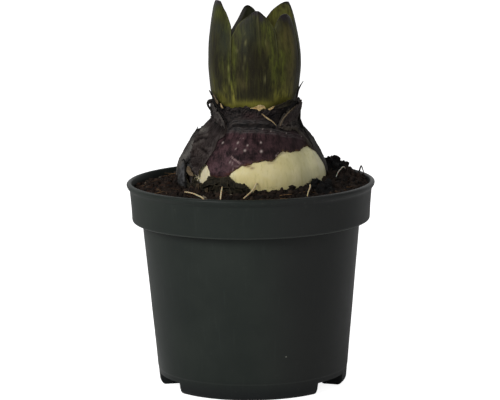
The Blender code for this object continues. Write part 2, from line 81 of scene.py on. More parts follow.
def readCurve(points, x):  # a smooth curve through the points
    xs, ys = np.array(points, float).T
    x = np.clip(x, xs[0], xs[-1])
    last = len(xs) - 1
    before = np.maximum(np.arange(last + 1) - 1, 0)
    after = np.minimum(np.arange(last + 1) + 1, last)
    slopes = (ys[after] - ys[before]) / (xs[after] - xs[before])
    i = np.clip(np.searchsorted(xs, x) - 1, 0, last - 1)
    width = xs[i + 1] - xs[i]
    t = (x - xs[i]) / width
    return ((2 * t**3 - 3 * t**2 + 1) * ys[i] + (t**3 - 2 * t**2 + t) * width * slopes[i]
            + (3 * t**2 - 2 * t**3) * ys[i + 1] + (t**3 - t**2) * width * slopes[i + 1])


def fractal(x, y, z, size, octaves=3):
    spots = np.stack(np.broadcast_arrays(np.asarray(x, float), y, z), -1) / size
    roughness, lacunarity = wrinkleSizes["roughness"], wrinkleSizes["lacunarity"]
    values = [noise.fractal(spot, roughness, lacunarity, octaves) for spot in spots.reshape(-1, 3).tolist()]
    return np.reshape(values, spots.shape[:-1])


def creases(arc, height, lean, width, length, seed):  # sharp folds that run along lean, 0 to about 1
    turn = math.radians(lean)
    along = arc * math.sin(turn) + height * math.cos(turn)
    side = arc * math.cos(turn) - height * math.sin(turn)
    sway = fractal(arc, height, seed, wrinkleSizes["swayLength"] * width, 2)
    side = side + wrinkleSizes["sway"] * width * sway
    valley = np.abs(fractal(side / width, along / length, seed, 1.0, 2))
    return (1.0 - wrinkleSizes["sharpness"] * valley).clip(0.0, 1.0) ** wrinkleSizes["power"]


def smoothPath(route, steps):  # a Catmull-Rom curve through the route's points
    route = np.array(route, float)
    path = []
    for i in range(len(route) - 1):
        before, here, after = route[max(i - 1, 0)], route[i], route[i + 1]
        last = route[min(i + 2, len(route) - 1)]
        for k in range(steps):
            t = k / steps
            square, cube = 2 * before - 5 * here + 4 * after - last, 3 * here - before - 3 * after + last
            path.append(0.5 * (2 * here + (after - before) * t + square * t**2 + cube * t**3))
    return np.array(path + [route[-1]])


# Places on the plant

bulbSizes = {
    "profile": [(46.5, 7.5), (48.5, 9.5), (51, 14), (57, 21.5), (64, 26), (70, 27.4), (75, 27.6),
        (80, 26.9), (84, 25.1), (88, 22.9), (91, 20.7), (93, 18.9), (94.6, 17.5), (96.2, 16.6), (98, 16.2),
        (100, 16.4), (102, 16.8), (104, 17.2), (108, 17.6)],
    "axis": [(46, 0.7), (80, 0.7), (91, 0.7), (94, 1.2), (98, 2), (104, 1.9), (119, 2), (128, 1.7),
        (140, 1.4)],
    "bottom": 46.5,
    "fleshTop": 96.5,
    "fleshDepth": 1.8,
    "purpleDepth": 0.9,
    "dryDepth": 0.0,
    "skinBottom": 69.0,
    "arcPerDegree": 0.42,
}


def polar(angle, radius, height):
    turn = np.radians(angle)
    x, y = radius * np.sin(turn), -radius * np.cos(turn)
    return np.stack(np.broadcast_arrays(x, y, height), -1).astype(float)


def halfTurned(angle):  # the same angle, from -180 to 180
    return (angle + 180.0) % fullTurn - 180.0


def onBulb(angle, level, depth):  # a point that far under the outermost skin, square to its profile
    step = 0.05
    profile = bulbSizes["profile"]
    slope = (readCurve(profile, level + step) - readCurve(profile, level - step)) / (2.0 * step)
    length = np.hypot(1.0, slope)
    height = level + depth * slope / length
    place = polar(angle, readCurve(profile, level) - depth / length, height)
    place[..., 0] += readCurve(bulbSizes["axis"], height)
    return place


def routeOnBulb(line, steps):  # line holds (angle, level, lift)
    spots = [[np.array(value, float) for value in (angle, level, -lift)] for angle, level, lift in line]
    return smoothPath([onBulb(*spot) for spot in spots], steps)


def pole(height, columns):  # the plant's middle at that height, once for each column
    return np.broadcast_to((readCurve(bulbSizes["axis"], height), 0.0, height), (columns, 1, 3))


def arcOf(angle):
    return np.asarray(angle, float) * bulbSizes["arcPerDegree"]


def edgeDistance(angle, level, outline):  # from each point to an outline of straight pieces, along the skin
    x, y = arcOf(angle), np.asarray(level, float)
    nearest = np.full(np.broadcast(x, y).shape, 99.0)
    for (a0, z0), (a1, z1) in zip(outline, outline[1:]):
        x0, x1 = arcOf(a0), arcOf(a1)
        dx, dz = x1 - x0, z1 - z0
        t = np.clip(((x - x0) * dx + (y - z0) * dz) / (dx * dx + dz * dz), 0.0, 1.0)
        nearest = np.minimum(nearest, np.hypot(x - x0 - t * dx, y - z0 - t * dz))
    return nearest


def blots(angle, level, marks):  # soft spots, each (angle, level, half width, half length, strength)
    total = np.zeros(np.broadcast(angle, level).shape)
    for spotAngle, spotLevel, width, length, strength in marks:
        away = (arcOf(angle - spotAngle) / width) ** 2 + ((level - spotLevel) / length) ** 2
        total = np.maximum(total, strength * np.exp(-away))
    return total


def blotsOf(sizes, angle, level, *names):  # one mark for each name, from the lists of that name
    return {name: blots(angle, level, sizes[name]) for name in names}


# Meshes

weldWithin = 2e-6


def quads(*corners):
    return np.stack([np.stack(np.broadcast_arrays(*corner), -1) for corner in corners], 1)


def gridFaces(columns, rows, closed, side=0):  # each corner is (side, column, row)
    wide = columns if closed else columns - 1
    i, k = (a.ravel() for a in np.meshgrid(np.arange(wide), np.arange(rows - 1), indexing="ij"))
    faces = quads((side, i, k), (side, i + 1, k), (side, i + 1, k + 1), (side, i, k + 1))
    return faces[:, ::-1] if side else faces


def sheetFaces(columns, rows, closed):
    i = np.arange(columns if closed else columns - 1)
    faces = [gridFaces(columns, rows, closed), gridFaces(columns, rows, closed, 1),
             quads((0, i, 0), (1, i, 0), (1, i + 1, 0), (0, i + 1, 0)),
             quads((0, i, rows - 1), (0, i + 1, rows - 1), (1, i + 1, rows - 1), (1, i, rows - 1))]
    if not closed:
        k, last = np.arange(rows - 1), columns - 1
        faces.append(quads((0, 0, k), (0, 0, k + 1), (1, 0, k + 1), (1, 0, k)))
        faces.append(quads((0, last, k), (1, last, k), (1, last, k + 1), (0, last, k + 1)))
    return np.concatenate(faces)


def addObject(name, data):
    thing = bpy.data.objects.new(name, data)
    bpy.context.scene.collection.objects.link(thing)
    return thing


def writeMark(mesh, name, values, kind="FLOAT", domain="POINT"):
    layer = mesh.attributes.new(name, kind, domain)
    field = "vector" if kind == "FLOAT_VECTOR" else "value"
    layer.data.foreach_set(field, np.ascontiguousarray(values, np.float32).ravel())


def makePiece(name, points, faces, finish, places=None, marks=None, weld=False):
    mesh = bpy.data.meshes.new(name)
    mesh.from_pydata((points * mm).tolist(), [], faces.tolist())
    if places is not None:
        writeMark(mesh, "place", places, "FLOAT_VECTOR", "CORNER")
    for key, values in (marks or {}).items():
        writeMark(mesh, key, values)
    if weld:
        shape = bmesh.new()
        shape.from_mesh(mesh)
        bmesh.ops.remove_doubles(shape, verts=shape.verts, dist=weldWithin)
        shape.to_mesh(mesh)
        shape.free()
    mesh.shade_smooth()
    mesh.materials.append(finish)
    return addObject(name, mesh)


# A sheet with two faces and closed edges. Where it closes on itself, place has one more column than outer.
def sheetPiece(name, outer, inner, place, marks, finish, closed=False):
    columns, rows = outer.shape[:2]
    faces = sheetFaces(columns, rows, closed)
    side, column, row = faces[..., 0], faces[..., 1], faces[..., 2]
    corners = side * columns * rows + (column % columns) * rows + row
    places = np.concatenate([place[column, row], side[..., None]], -1)
    both = {key: np.broadcast_to(values, (2, columns, rows)) for key, values in marks.items()}
    points = np.concatenate([outer.reshape(-1, 3), inner.reshape(-1, 3)])
    return makePiece(name, points, corners, finish, places, both)


def skinPiece(name, angle, level, depth, wall, marks, finish, closed=False):  # a sheet that lies on the bulb
    arc = arcOf(angle) + 0.0 * level
    outer, inner = onBulb(angle, level, depth), onBulb(angle, level, depth + wall)
    if closed:
        arc, level = np.append(arc, arc[:1] + arcOf(fullTurn), 0), np.append(level, level[:1], 0)
    return sheetPiece(name, outer, inner, np.stack([arc, level], -1), marks, finish, closed)


def turnedPiece(name, grid, finish, marks=None):  # a closed body, each column from pole to pole
    columns, rows = grid.shape[:2]
    faces = gridFaces(columns, rows, True)
    corners = (faces[..., 1] % columns) * rows + faces[..., 2]
    return makePiece(name, grid.reshape(-1, 3), corners, finish, None, marks, weld=True)


def tubeGrid(path, radii, sides):  # columns run along the tube, and both ends close to a point
    path = np.asarray(path, float)
    ahead = np.gradient(path, axis=0)
    ahead /= np.linalg.norm(ahead, axis=1)[:, None]
    across = np.cross(ahead[0], (0.3, 0.5, 0.8))   # any direction that no tube starts along
    turn = np.arange(sides) * math.tau / sides
    grid = np.empty((sides, len(path) + 2, 3))
    grid[:, 0], grid[:, -1] = path[0], path[-1]
    for i, point in enumerate(path):
        across = across - across.dot(ahead[i]) * ahead[i]
        across /= np.linalg.norm(across)
        other = np.cross(ahead[i], across)
        grid[:, i + 1] = point + radii[i] * (np.cos(turn)[:, None] * across + np.sin(turn)[:, None] * other)
    return grid


def joinGrids(name, grids, finish, marks=None):  # many closed tubes in one piece, with one mark for each tube
    points, faces, start = [], [], 0
    values = {key: [] for key in (marks or {})}
    for number, grid in enumerate(grids):
        columns, rows = grid.shape[:2]
        corner = gridFaces(columns, rows, True)
        faces.append((corner[..., 1] % columns) * rows + corner[..., 2] + start)
        points.append(grid.reshape(-1, 3))
        for key in values:
            values[key].append(np.full(columns * rows, marks[key][number]))
        start += columns * rows
    values = {key: np.concatenate(parts) for key, parts in values.items()}
    return makePiece(name, np.concatenate(points), np.concatenate(faces), finish, None, values, weld=True)


def settle(piece, slotName, *nodes):
    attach(piece, "root")
    if nodes:
        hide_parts(*nodes)


# Node trees. The helpers below add to the tree that was opened last.

graph = {"tree": None}


def tone(red, green, blue):  # a colour as the eye sees it, 0 to 255, made linear
    seen = (c / 255.0 for c in (red, green, blue))
    return tuple(((c + 0.055) / 1.055) ** 2.4 for c in seen) + (1.0,)


def newFinish(name, roughness, specular=0.5, **constants):
    finish = bpy.data.materials.new(name)
    finish.use_nodes = True
    graph["tree"] = finish.node_tree
    shader = finish.node_tree.nodes["Principled BSDF"]
    shader.inputs["Roughness"].default_value = roughness
    shader.inputs["Specular IOR Level"].default_value = specular
    for key, value in constants.items():
        shader.inputs[key.replace("_", " ")].default_value = value
    return finish, shader


def feed(socket, value):
    if isinstance(value, bpy.types.NodeSocket):
        graph["tree"].links.new(value, socket)
    else:
        socket.default_value = value


def addNode(kind, inputs=None, output=0, **settings):
    node = graph["tree"].nodes.new(kind)
    for key, value in settings.items():
        setattr(node, key, value)
    for key, value in (inputs or {}).items():
        feed(node.inputs[key], value)
    return node.outputs[output]


def objectPlace():  # Object coordinates in millimetres
    place = addNode("ShaderNodeTexCoord", output="Object")
    return addNode("ShaderNodeVectorMath", {0: place, 3: 1.0 / mm}, operation="SCALE")


def skinPlace():  # the piece's own place attribute: arc and height in millimetres, and 1 on the inner face
    return addNode("ShaderNodeAttribute", output="Vector", attribute_name="place")


def mark(name, share=1.0):
    value = addNode("ShaderNodeAttribute", output="Fac", attribute_name=name)
    return value if share == 1.0 else times(value, share)


def partOf(vector, axis):
    return addNode("ShaderNodeSeparateXYZ", {"Vector": vector}, axis)


def stretched(place, x, y, z=1.0):
    return addNode("ShaderNodeVectorMath", {0: place, 1: (1.0 / x, 1.0 / y, 1.0 / z)}, operation="MULTIPLY")


def noiseOf(place, size, detail=3.0, rough=0.55, distortion=0.0):
    return addNode("ShaderNodeTexNoise", {"Vector": place, "Scale": 1.0 / size, "Detail": detail,
                                          "Roughness": rough, "Distortion": distortion}, "Fac")


def reach(value, low, high, first=0.0, last=1.0):  # value's range low to high becomes first to last
    return addNode("ShaderNodeMapRange", {"Value": value, "From Min": low, "From Max": high, "To Min": first,
                                          "To Max": last}, interpolation_type="SMOOTHSTEP")


def times(a, b):
    return addNode("ShaderNodeMath", {0: a, 1: b}, operation="MULTIPLY")


def plus(a, b):
    return addNode("ShaderNodeMath", {0: a, 1: b}, operation="ADD")


def blend(factor, a, b):
    return addNode("ShaderNodeMix", {0: factor, 6: a, 7: b}, 2, data_type="RGBA", blend_type="MIX")


def coats(colour, *layers):  # each layer is (where, colour) and lies over those before it
    for where, over in layers:
        colour = blend(where, colour, over)
    return colour


def nearTo(place, middle, far, near):  # 1 within near of the middle, 0 beyond far
    away = addNode("ShaderNodeVectorMath", {0: place, 1: middle}, "Value", operation="DISTANCE")
    return reach(away, far, near)


def paint(shader, colour, roughness=None):
    feed(shader.inputs["Base Color"], colour)
    if roughness is not None:
        feed(shader.inputs["Roughness"], roughness)


def bump(shader, height, distance, strength):
    feed(shader.inputs["Normal"],
         addNode("ShaderNodeBump", {"Height": height, "Distance": distance * mm, "Strength": strength}))


# Geometry Nodes groups, each opened with its named inputs and closed with its material

def openGroup(name, inputs):
    group = bpy.data.node_groups.new(name, "GeometryNodeTree")
    graph["tree"] = group
    group.interface.new_socket(name="Geometry", in_out="INPUT", socket_type="NodeSocketGeometry")
    for key, value in inputs.items():
        kind = "NodeSocketInt" if isinstance(value, int) else "NodeSocketFloat"
        group.interface.new_socket(name=key, in_out="INPUT", socket_type=kind).default_value = value
    group.interface.new_socket(name="Geometry", in_out="OUTPUT", socket_type="NodeSocketGeometry")
    return group, group.nodes.new("NodeGroupInput").outputs


def namedValue(name, kind="FLOAT"):
    return addNode("GeometryNodeInputNamedAttribute", {"Name": name}, "Attribute", data_type=kind)


def chance(seed, low, high, kind="FLOAT", shift=0.0):
    lowAt, highAt, outAt = {"FLOAT_VECTOR": (0, 1, 0), "FLOAT": (2, 3, 1), "INT": (4, 5, 2)}[kind]
    return addNode("FunctionNodeRandomValue", {lowAt: low, highAt: high, "Seed": plus(seed, shift)}, outAt,
                   data_type=kind)


def closeGroup(strewn, toneName, toneValue, finish):
    toned = addNode("GeometryNodeStoreNamedAttribute", {
        "Geometry": strewn, "Name": toneName, "Value": toneValue}, data_type="FLOAT", domain="INSTANCE")
    real = addNode("GeometryNodeRealizeInstances", {"Geometry": toned})
    dressed = addNode("GeometryNodeSetMaterial", {"Geometry": real, "Material": finish})
    feed(graph["tree"].nodes.new("NodeGroupOutput").inputs[0], dressed)


def growFrom(source, group, values, name):  # runs the group on a copy of source and keeps the mesh
    carrier = addObject(name + "Carrier", source.data.copy())
    grow = carrier.modifiers.new("grow", "NODES")
    grow.node_group = group
    sockets = {item.name: item.identifier for item in group.interface.items_tree if item.in_out == "INPUT"}
    for key, value in values.items():
        grow[sockets[key]] = value
    done = carrier.evaluated_get(bpy.context.evaluated_depsgraph_get())
    mesh = bpy.data.meshes.new_from_object(done)
    mesh.name = name
    carrier.modifiers.remove(grow)
    bpy.data.objects.remove(carrier)
    mesh.shade_smooth()
    return addObject(name, mesh)


# Camera, light and floor

cameraSizes = {
    "back": 897.0,
    "height": 219.0,
    "down": 9.65,
    "turn": -0.02,
    "roll": -0.76,
    "lens": 180.8,
    "sensor": 36.0,
    "clip": (0.05, 50.0),   # metres
}


def placeCamera():
    down, turn, roll = (math.radians(cameraSizes[key]) for key in ("down", "turn", "roll"))
    ahead = Vector((math.sin(turn) * math.cos(down), math.cos(turn) * math.cos(down), -math.sin(down)))
    level = Vector((math.cos(turn), -math.sin(turn), 0.0))
    over = level.cross(ahead)
    right = math.cos(roll) * level + math.sin(roll) * over
    up = math.cos(roll) * over - math.sin(roll) * level
    lens = bpy.data.cameras.new("camera")
    lens.lens = cameraSizes["lens"]
    lens.sensor_width = cameraSizes["sensor"]
    lens.clip_start, lens.clip_end = cameraSizes["clip"]
    camera = addObject("camera", lens)
    place = Matrix.Translation((0.0, -cameraSizes["back"] * mm, cameraSizes["height"] * mm))
    camera.matrix_world = place @ Matrix((right, up, -ahead)).transposed().to_4x4()
    bpy.context.scene.camera = camera


lightSizes = {
    "key": ((-520.0, -620.0, 560.0), 380.0, 5.6),   # place, side, watts
    "fill": ((560.0, -520.0, 420.0), 420.0, 1.1),
    "aim": (0.0, 0.0, 70.0),
    "seen": 1.0,
    "front": 0.14,
    "behind": 0.85,
    "floorGlow": 1.0,
    "floorTones": ((0.86, 0.86, 0.86, 1.0), (0.89, 0.89, 0.89, 1.0)),
    "floorHalf": 6000.0,
}


def placeLights():
    aim = Vector(lightSizes["aim"]) * mm
    for name in ("key", "fill"):
        place, side, power = lightSizes[name]
        light = bpy.data.lights.new(name, "AREA")
        light.size = side * mm
        light.energy = power
        lamp = addObject(name, light)
        lamp.location = Vector(place) * mm
        lamp.rotation_euler = (aim - lamp.location).to_track_quat("-Z", "Y").to_euler()
    world = bpy.data.worlds.new("paleRoom")
    world.use_nodes = True
    graph["tree"] = world.node_tree
    across = partOf(addNode("ShaderNodeTexCoord", output="Generated"), "Y")
    glow = reach(across, 0.1, 0.95, lightSizes["front"], lightSizes["behind"])
    seen = addNode("ShaderNodeLightPath", output="Is Camera Ray")
    strength = addNode("ShaderNodeMix", {0: seen, 2: glow, 3: lightSizes["seen"]}, data_type="FLOAT")
    background = world.node_tree.nodes["Background"]
    feed(background.inputs["Strength"], strength)
    background.inputs["Color"].default_value = (1.0, 1.0, 1.0, 1.0)
    bpy.context.scene.world = world
    bpy.context.scene.view_settings.view_transform = "Standard"


def layFloor():
    finish, shader = newFinish("paleFloor", 0.8, 0.2)
    colour = blend(noiseOf(objectPlace(), 400.0), *lightSizes["floorTones"])
    paint(shader, colour)
    feed(shader.inputs["Emission Color"], colour)
    seen = addNode("ShaderNodeLightPath", output="Is Camera Ray")
    feed(shader.inputs["Emission Strength"], times(seen, lightSizes["floorGlow"]))
    corners = np.array([(-1, -1, 0), (1, -1, 0), (1, 1, 0), (-1, 1, 0)]) * lightSizes["floorHalf"]
    makePiece("floor", corners, np.array([[0, 1, 2, 3]]), finish)


placeCamera()
placeLights()
layFloor()
print("camera, lights and floor placed")


# Pot

potSizes = {
    "outside": [(33, 0), (34.1, 1.2), (34.5, 5.9), (34.65, 6.3), (35.2, 13), (37.2, 35), (39, 55),
        (39.4, 59.6), (40.2, 60.1), (42.6, 59.7), (43.05, 60.2), (43.2, 64), (43.8, 71.2), (44.65, 72.1),
        (45, 73.3), (44.2, 73.9)],
    "inside": [(43.3, 73.9), (42.7, 71), (42.05, 62.6), (41.3, 61.5), (38.8, 61.2), (38.2, 60.3),
        (36.3, 35), (33.5, 5.1)],
    "rounding": 0.7,
    "roundSteps": 3,
    "spacing": 3.2,   # between the rings of the mesh
    "underside": 4.2,
    "recess": 26.5,
    "feet": 3,
    "footMiddle": -4.0,
    "footSpan": 92.0,
    "footEdges": (-0.7, -0.35, 0.0, 0.35, 0.7),   # columns of the mesh at each end of a foot
    "footBlend": 0.5,
    "drainRadius": 3.4,
    "drainRing": 24.0,
    "drainCut": 6.0,
    "drainSides": 36,
    "waver": (0.06, 22.0, 30.0),   # how far the wall is off, over what length, read on a ring of this radius
    "sharpFrom": 50.0,
    # painted highlight along the collar's lower edge, and a faint lighter line at the step near the foot
    "highlightRings": [(59.2, 59.75, 60.5, 0.75), (5.5, 6.1, 6.5, 0.15)],   # from, middle, to and strength
    "specks": [(13.5, -41.1, 67.5), (11.7, -33.5, 15.9)],
    "speckRadii": (0.3, 0.15),
    "columns": 200,
}


def potFinish():
    finish, shader = newFinish("potPlastic", 0.5, 0.13)
    place = objectPlace()
    height = partOf(place, "Z")
    cloud = noiseOf(place, 26.0, 3.0)
    drag = noiseOf(stretched(place, 1.2, 1.2, 26.0), 1.0, 3.0)
    dust = reach(noiseOf(place, 2.2, 4.0, 0.7), 0.6, 0.74)
    highlight = [times(reach(height, low, middle), reach(height, high, middle, 0.0, share))
            for low, middle, high, share in potSizes["highlightRings"]]
    colour = coats(
        tone(36, 41, 38),
        (reach(cloud, 0.35, 0.7), tone(43, 48, 44)),
        (reach(drag, 0.56, 0.8, 0.0, 0.35), tone(52, 58, 54)),
        # painted shade: greyer and a little darker towards the right, the side away from the light
        (reach(partOf(place, "X"), -4.0, 20.0, 0.0, 0.7), tone(38, 38, 38)),
        # painted shade: darker towards the foot
        (reach(height, 8.0, 1.0, 0.0, 0.85), tone(28, 30, 31)),
        # painted highlight lines under the collar and at the step near the foot
        *((ring, tone(72, 76, 72)) for ring in highlight),
        (times(times(dust, reach(height, 66.0, 73.5, 0.15, 1.0)), 0.5), tone(77, 77, 71)),
        *((nearTo(place, speck, *potSizes["speckRadii"]), tone(126, 126, 118))
          for speck in potSizes["specks"]))
    paint(shader, colour, reach(cloud, 0.3, 0.75, 0.38, 0.52))
    bump(shader, plus(noiseOf(place, 0.35, 2.0), times(drag, 0.6)), 0.02, 0.5)
    return finish


def roundedLine(points, size, steps):  # the line with its inner corners drawn round
    points = np.array(points, float)
    line = [points[0]]
    for before, corner, after in zip(points, points[1:], points[2:]):
        toBack, toNext = before - corner, after - corner
        cutBack = corner + toBack * min(0.45, size / np.linalg.norm(toBack))
        cutNext = corner + toNext * min(0.45, size / np.linalg.norm(toNext))
        for k in range(steps + 1):
            t = k / steps
            line.append((1 - t) ** 2 * cutBack + 2 * t * (1 - t) * corner + t**2 * cutNext)
    return np.array(line + [points[-1]])


def denseLine(points, spacing):
    line = [points[0]]
    for before, after in zip(points, points[1:]):
        count = max(1, math.ceil(np.linalg.norm(after - before) / spacing))
        line += [before + (after - before) * k / count for k in range(1, count + 1)]
    return np.array(line)


def footEnds():
    for i in range(potSizes["feet"]):
        middle = potSizes["footMiddle"] + i * fullTurn / potSizes["feet"]
        yield middle - potSizes["footSpan"] / 2, middle + potSizes["footSpan"] / 2


def drillDrain(pot, angle, height):
    turn, ring = math.radians(angle), potSizes["drainRing"] * mm
    bpy.ops.mesh.primitive_cylinder_add(
        vertices=potSizes["drainSides"], radius=potSizes["drainRadius"] * mm, depth=potSizes["drainCut"] * mm,
        location=(ring * math.sin(turn), -ring * math.cos(turn), height * mm))
    cutter = bpy.context.object
    hole = pot.modifiers.new("drain", "BOOLEAN")
    hole.object = cutter
    hole.solver = "EXACT"
    bpy.context.view_layer.objects.active = pot
    bpy.ops.object.modifier_apply(modifier=hole.name)
    bpy.data.objects.remove(cutter)


def makePot():
    under, recess = potSizes["underside"], potSizes["recess"]
    floor = potSizes["inside"][-1][1]
    base = [(0.0, under), (recess, under), (recess, 0.0)]
    section = base + potSizes["outside"] + potSizes["inside"] + [(0.0, floor)]
    line = denseLine(roundedLine(section, potSizes["rounding"], potSizes["roundSteps"]), potSizes["spacing"])
    angles = list(np.arange(potSizes["columns"]) * fullTurn / potSizes["columns"])
    for ends in footEnds():
        angles += [end + shift for end in ends for shift in potSizes["footEdges"]]
    angles = np.unique(np.round(np.array(angles) % fullTurn, 4))
    inFoot = np.zeros(len(angles))
    blendOver = potSizes["footBlend"]
    for start, end in footEnds():
        away = np.abs(halfTurned(angles - (start + end) / 2))
        inFoot = np.maximum(inFoot, fade(-blendOver, blendOver, away - (end - start) / 2))
    height = np.maximum(line[None, :, 1], (under * (1.0 - inFoot))[:, None])
    waver, length, ringRadius = potSizes["waver"]
    ring = polar(angles, ringRadius, 0.0)[:, None]
    radius = line[None, :, 0] + waver * fractal(ring[..., 0], ring[..., 1], height, length, 2)
    radius = np.where(line[None, :, 0] < recess + 0.1, line[None, :, 0], radius)   # the recess stays true
    pot = turnedPiece("pottedPot", polar(angles[:, None], radius, height), potFinish())
    for start, end in footEnds():
        drillDrain(pot, end + (fullTurn / potSizes["feet"] - potSizes["footSpan"]) / 2, (under + floor) / 2)
    pot.data.shade_smooth()
    pot.data.set_sharp_from_angle(angle=math.radians(potSizes["sharpFrom"]))
    settle(pot, "pot", "pot")


makePot()
print("pot made")


# Soil, with its crumbs and fibres

soilSizes = {
    "atBulb": [(-180, 77), (-120, 76.8), (-85, 76.4), (-60, 74.4), (-40, 74.6), (-10, 74.4), (10, 73.6),
        (40, 74.4), (75, 75), (85, 77.5), (120, 78), (180, 77)],
    "atPot": [(-180, 71), (-130, 70.6), (-90, 71), (-30, 71), (30, 71.2), (90, 72), (180, 71)],
    "fall": 1.5,   # how much faster it falls beside the bulb
    "lumps": [(4.5, 0.5, 1), (1.9, 0.75, 2), (0.8, 0.4, 2)],   # size, height and octaves
    "mound": (31.6, 7.2, 5.2, 6.6),   # x, y, height and spread, and the same for each clod
    "clods": [(25.4, -16.8, 1.5, 3.2), (29.4, 8.6, 0.6, 2.0), (22.6, -16.0, 0.5, 1.4)],
    "blackSpots": [((24.6, -14.5, 76.0), 5.4), ((25.6, -19.0, 75.0), 6.0), ((28.6, 4.0, 79.0), 6.4)],
    "socketDepth": 2.3,
    "socketLevels": (72.0, 66.0, 60.0, 54.0, 50.0, 47.0),
    "floor": 5.4,
    "wallGap": 0.02,
    "bareRings": 3,   # beside the pot, so that crumbs stay inside its lip
    "columns": 360,
    "rings": 40,
    "crumbShapes": 3,
    "crumbKnock": 1.9,
    "crumbStretch": ((0.7, 0.6, 0.5), (1.3, 1.0, 0.9)),
    "crumbBias": 2.6,   # how rare large crumbs are
    # name, how many to a square centimetre, smallest and largest radius, subdivisions, seed
    "crumbs": [("peatCrumbs", 62.0, 0.28, 1.25, 1, 11), ("peatClods", 5.0, 0.9, 1.9, 2, 23)],
}


def soilFinish():
    finish, shader = newFinish("peat", 0.93, 0.18)
    place = objectPlace()
    coarse, fine = noiseOf(place, 3.2, 4.0, 0.65), noiseOf(place, 0.7, 4.0, 0.7)
    left = reach(partOf(place, "X"), -12.0, -34.0, 0.1, 1.0)
    warm = times(reach(noiseOf(place, 1.9, 3.0), 0.48, 0.68), left)
    damp = reach(fine, 0.66, 0.5, 0.6, 1.0)
    each = mark("crumbTone")
    colour = coats(
        tone(17, 14, 12),
        (reach(coarse, 0.35, 0.68), tone(44, 34, 27)),
        (reach(fine, 0.58, 0.78), tone(64, 47, 36)),
        (times(warm, 0.5), tone(70, 45, 33)),
        *((times(nearTo(place, middle, far, 0.7 * far), damp), tone(13, 13, 13))
          for middle, far in soilSizes["blackSpots"]),
        (reach(each, 0.84, 1.0, 0.0, 0.6), tone(82, 66, 52)),
        (reach(each, 0.99, 0.994, 0.0, 0.6), tone(150, 140, 122)))
    paint(shader, colour)
    bump(shader, plus(fine, noiseOf(place, 0.28, 3.0, 0.7)), 0.35, 0.9)
    return finish


def potWall(height):
    return readLine([(z, r) for r, z in potSizes["inside"][::-1]], height)


def soilTop(angle, share, place):
    x, y = place[..., 0], place[..., 1]
    fall = 1.0 - (1.0 - share) ** soilSizes["fall"]
    atBulb, atPot = readRound(soilSizes["atBulb"], angle), readRound(soilSizes["atPot"], angle)
    moundX, moundY, height, spread = soilSizes["mound"]
    top = atBulb + (atPot - atBulb) * fall + height * hump(np.hypot(x - moundX, y - moundY), 0.0, spread)
    for clodX, clodY, height, spread in soilSizes["clods"]:
        top = top + height * fade(0.6, 1.4, np.hypot(x - clodX, y - clodY) / spread)
    for size, lift, octaves in soilSizes["lumps"]:
        top = top + lift * fractal(x, y, 0.0, size, octaves)
    return top


def makeSoil():
    columns, rings, gap = soilSizes["columns"], soilSizes["rings"], soilSizes["wallGap"]
    angle = np.arange(columns) * fullTurn / columns
    share = np.linspace(0.0, 1.0, rings + 1)
    edge = onBulb(angle, readRound(soilSizes["atBulb"], angle), soilSizes["socketDepth"])[:, None]
    rimHeight = readRound(soilSizes["atPot"], angle)
    rim = polar(angle, potWall(rimHeight) - gap, rimHeight)[:, None]
    top = edge + (rim - edge) * share[None, :, None]
    top[..., 2] = soilTop(angle[:, None], share[None], top)
    side = np.stack([polar(angle, radius - gap, max(soilSizes["floor"], height))
                     for radius, height in potSizes["inside"][::-1][:-2]], 1)
    socket = onBulb(angle[:, None], np.array(soilSizes["socketLevels"])[None], soilSizes["socketDepth"])
    low = np.broadcast_to((0.0, 0.0, soilSizes["floor"]), (columns, 1, 3))
    grid = np.concatenate([low, side, top[:, ::-1], socket, pole(bulbSizes["bottom"], columns)], 1)
    onTop = np.zeros(grid.shape[:2])
    atPot = 1 + side.shape[1]
    onTop[:, atPot + soilSizes["bareRings"]:atPot + rings] = 1.0
    soil = turnedPiece("peatSoil", grid, soilFinish(), {"onTop": onTop, "crumbTone": 0.0 * onTop})
    settle(soil, "soil", "soil")
    return soil


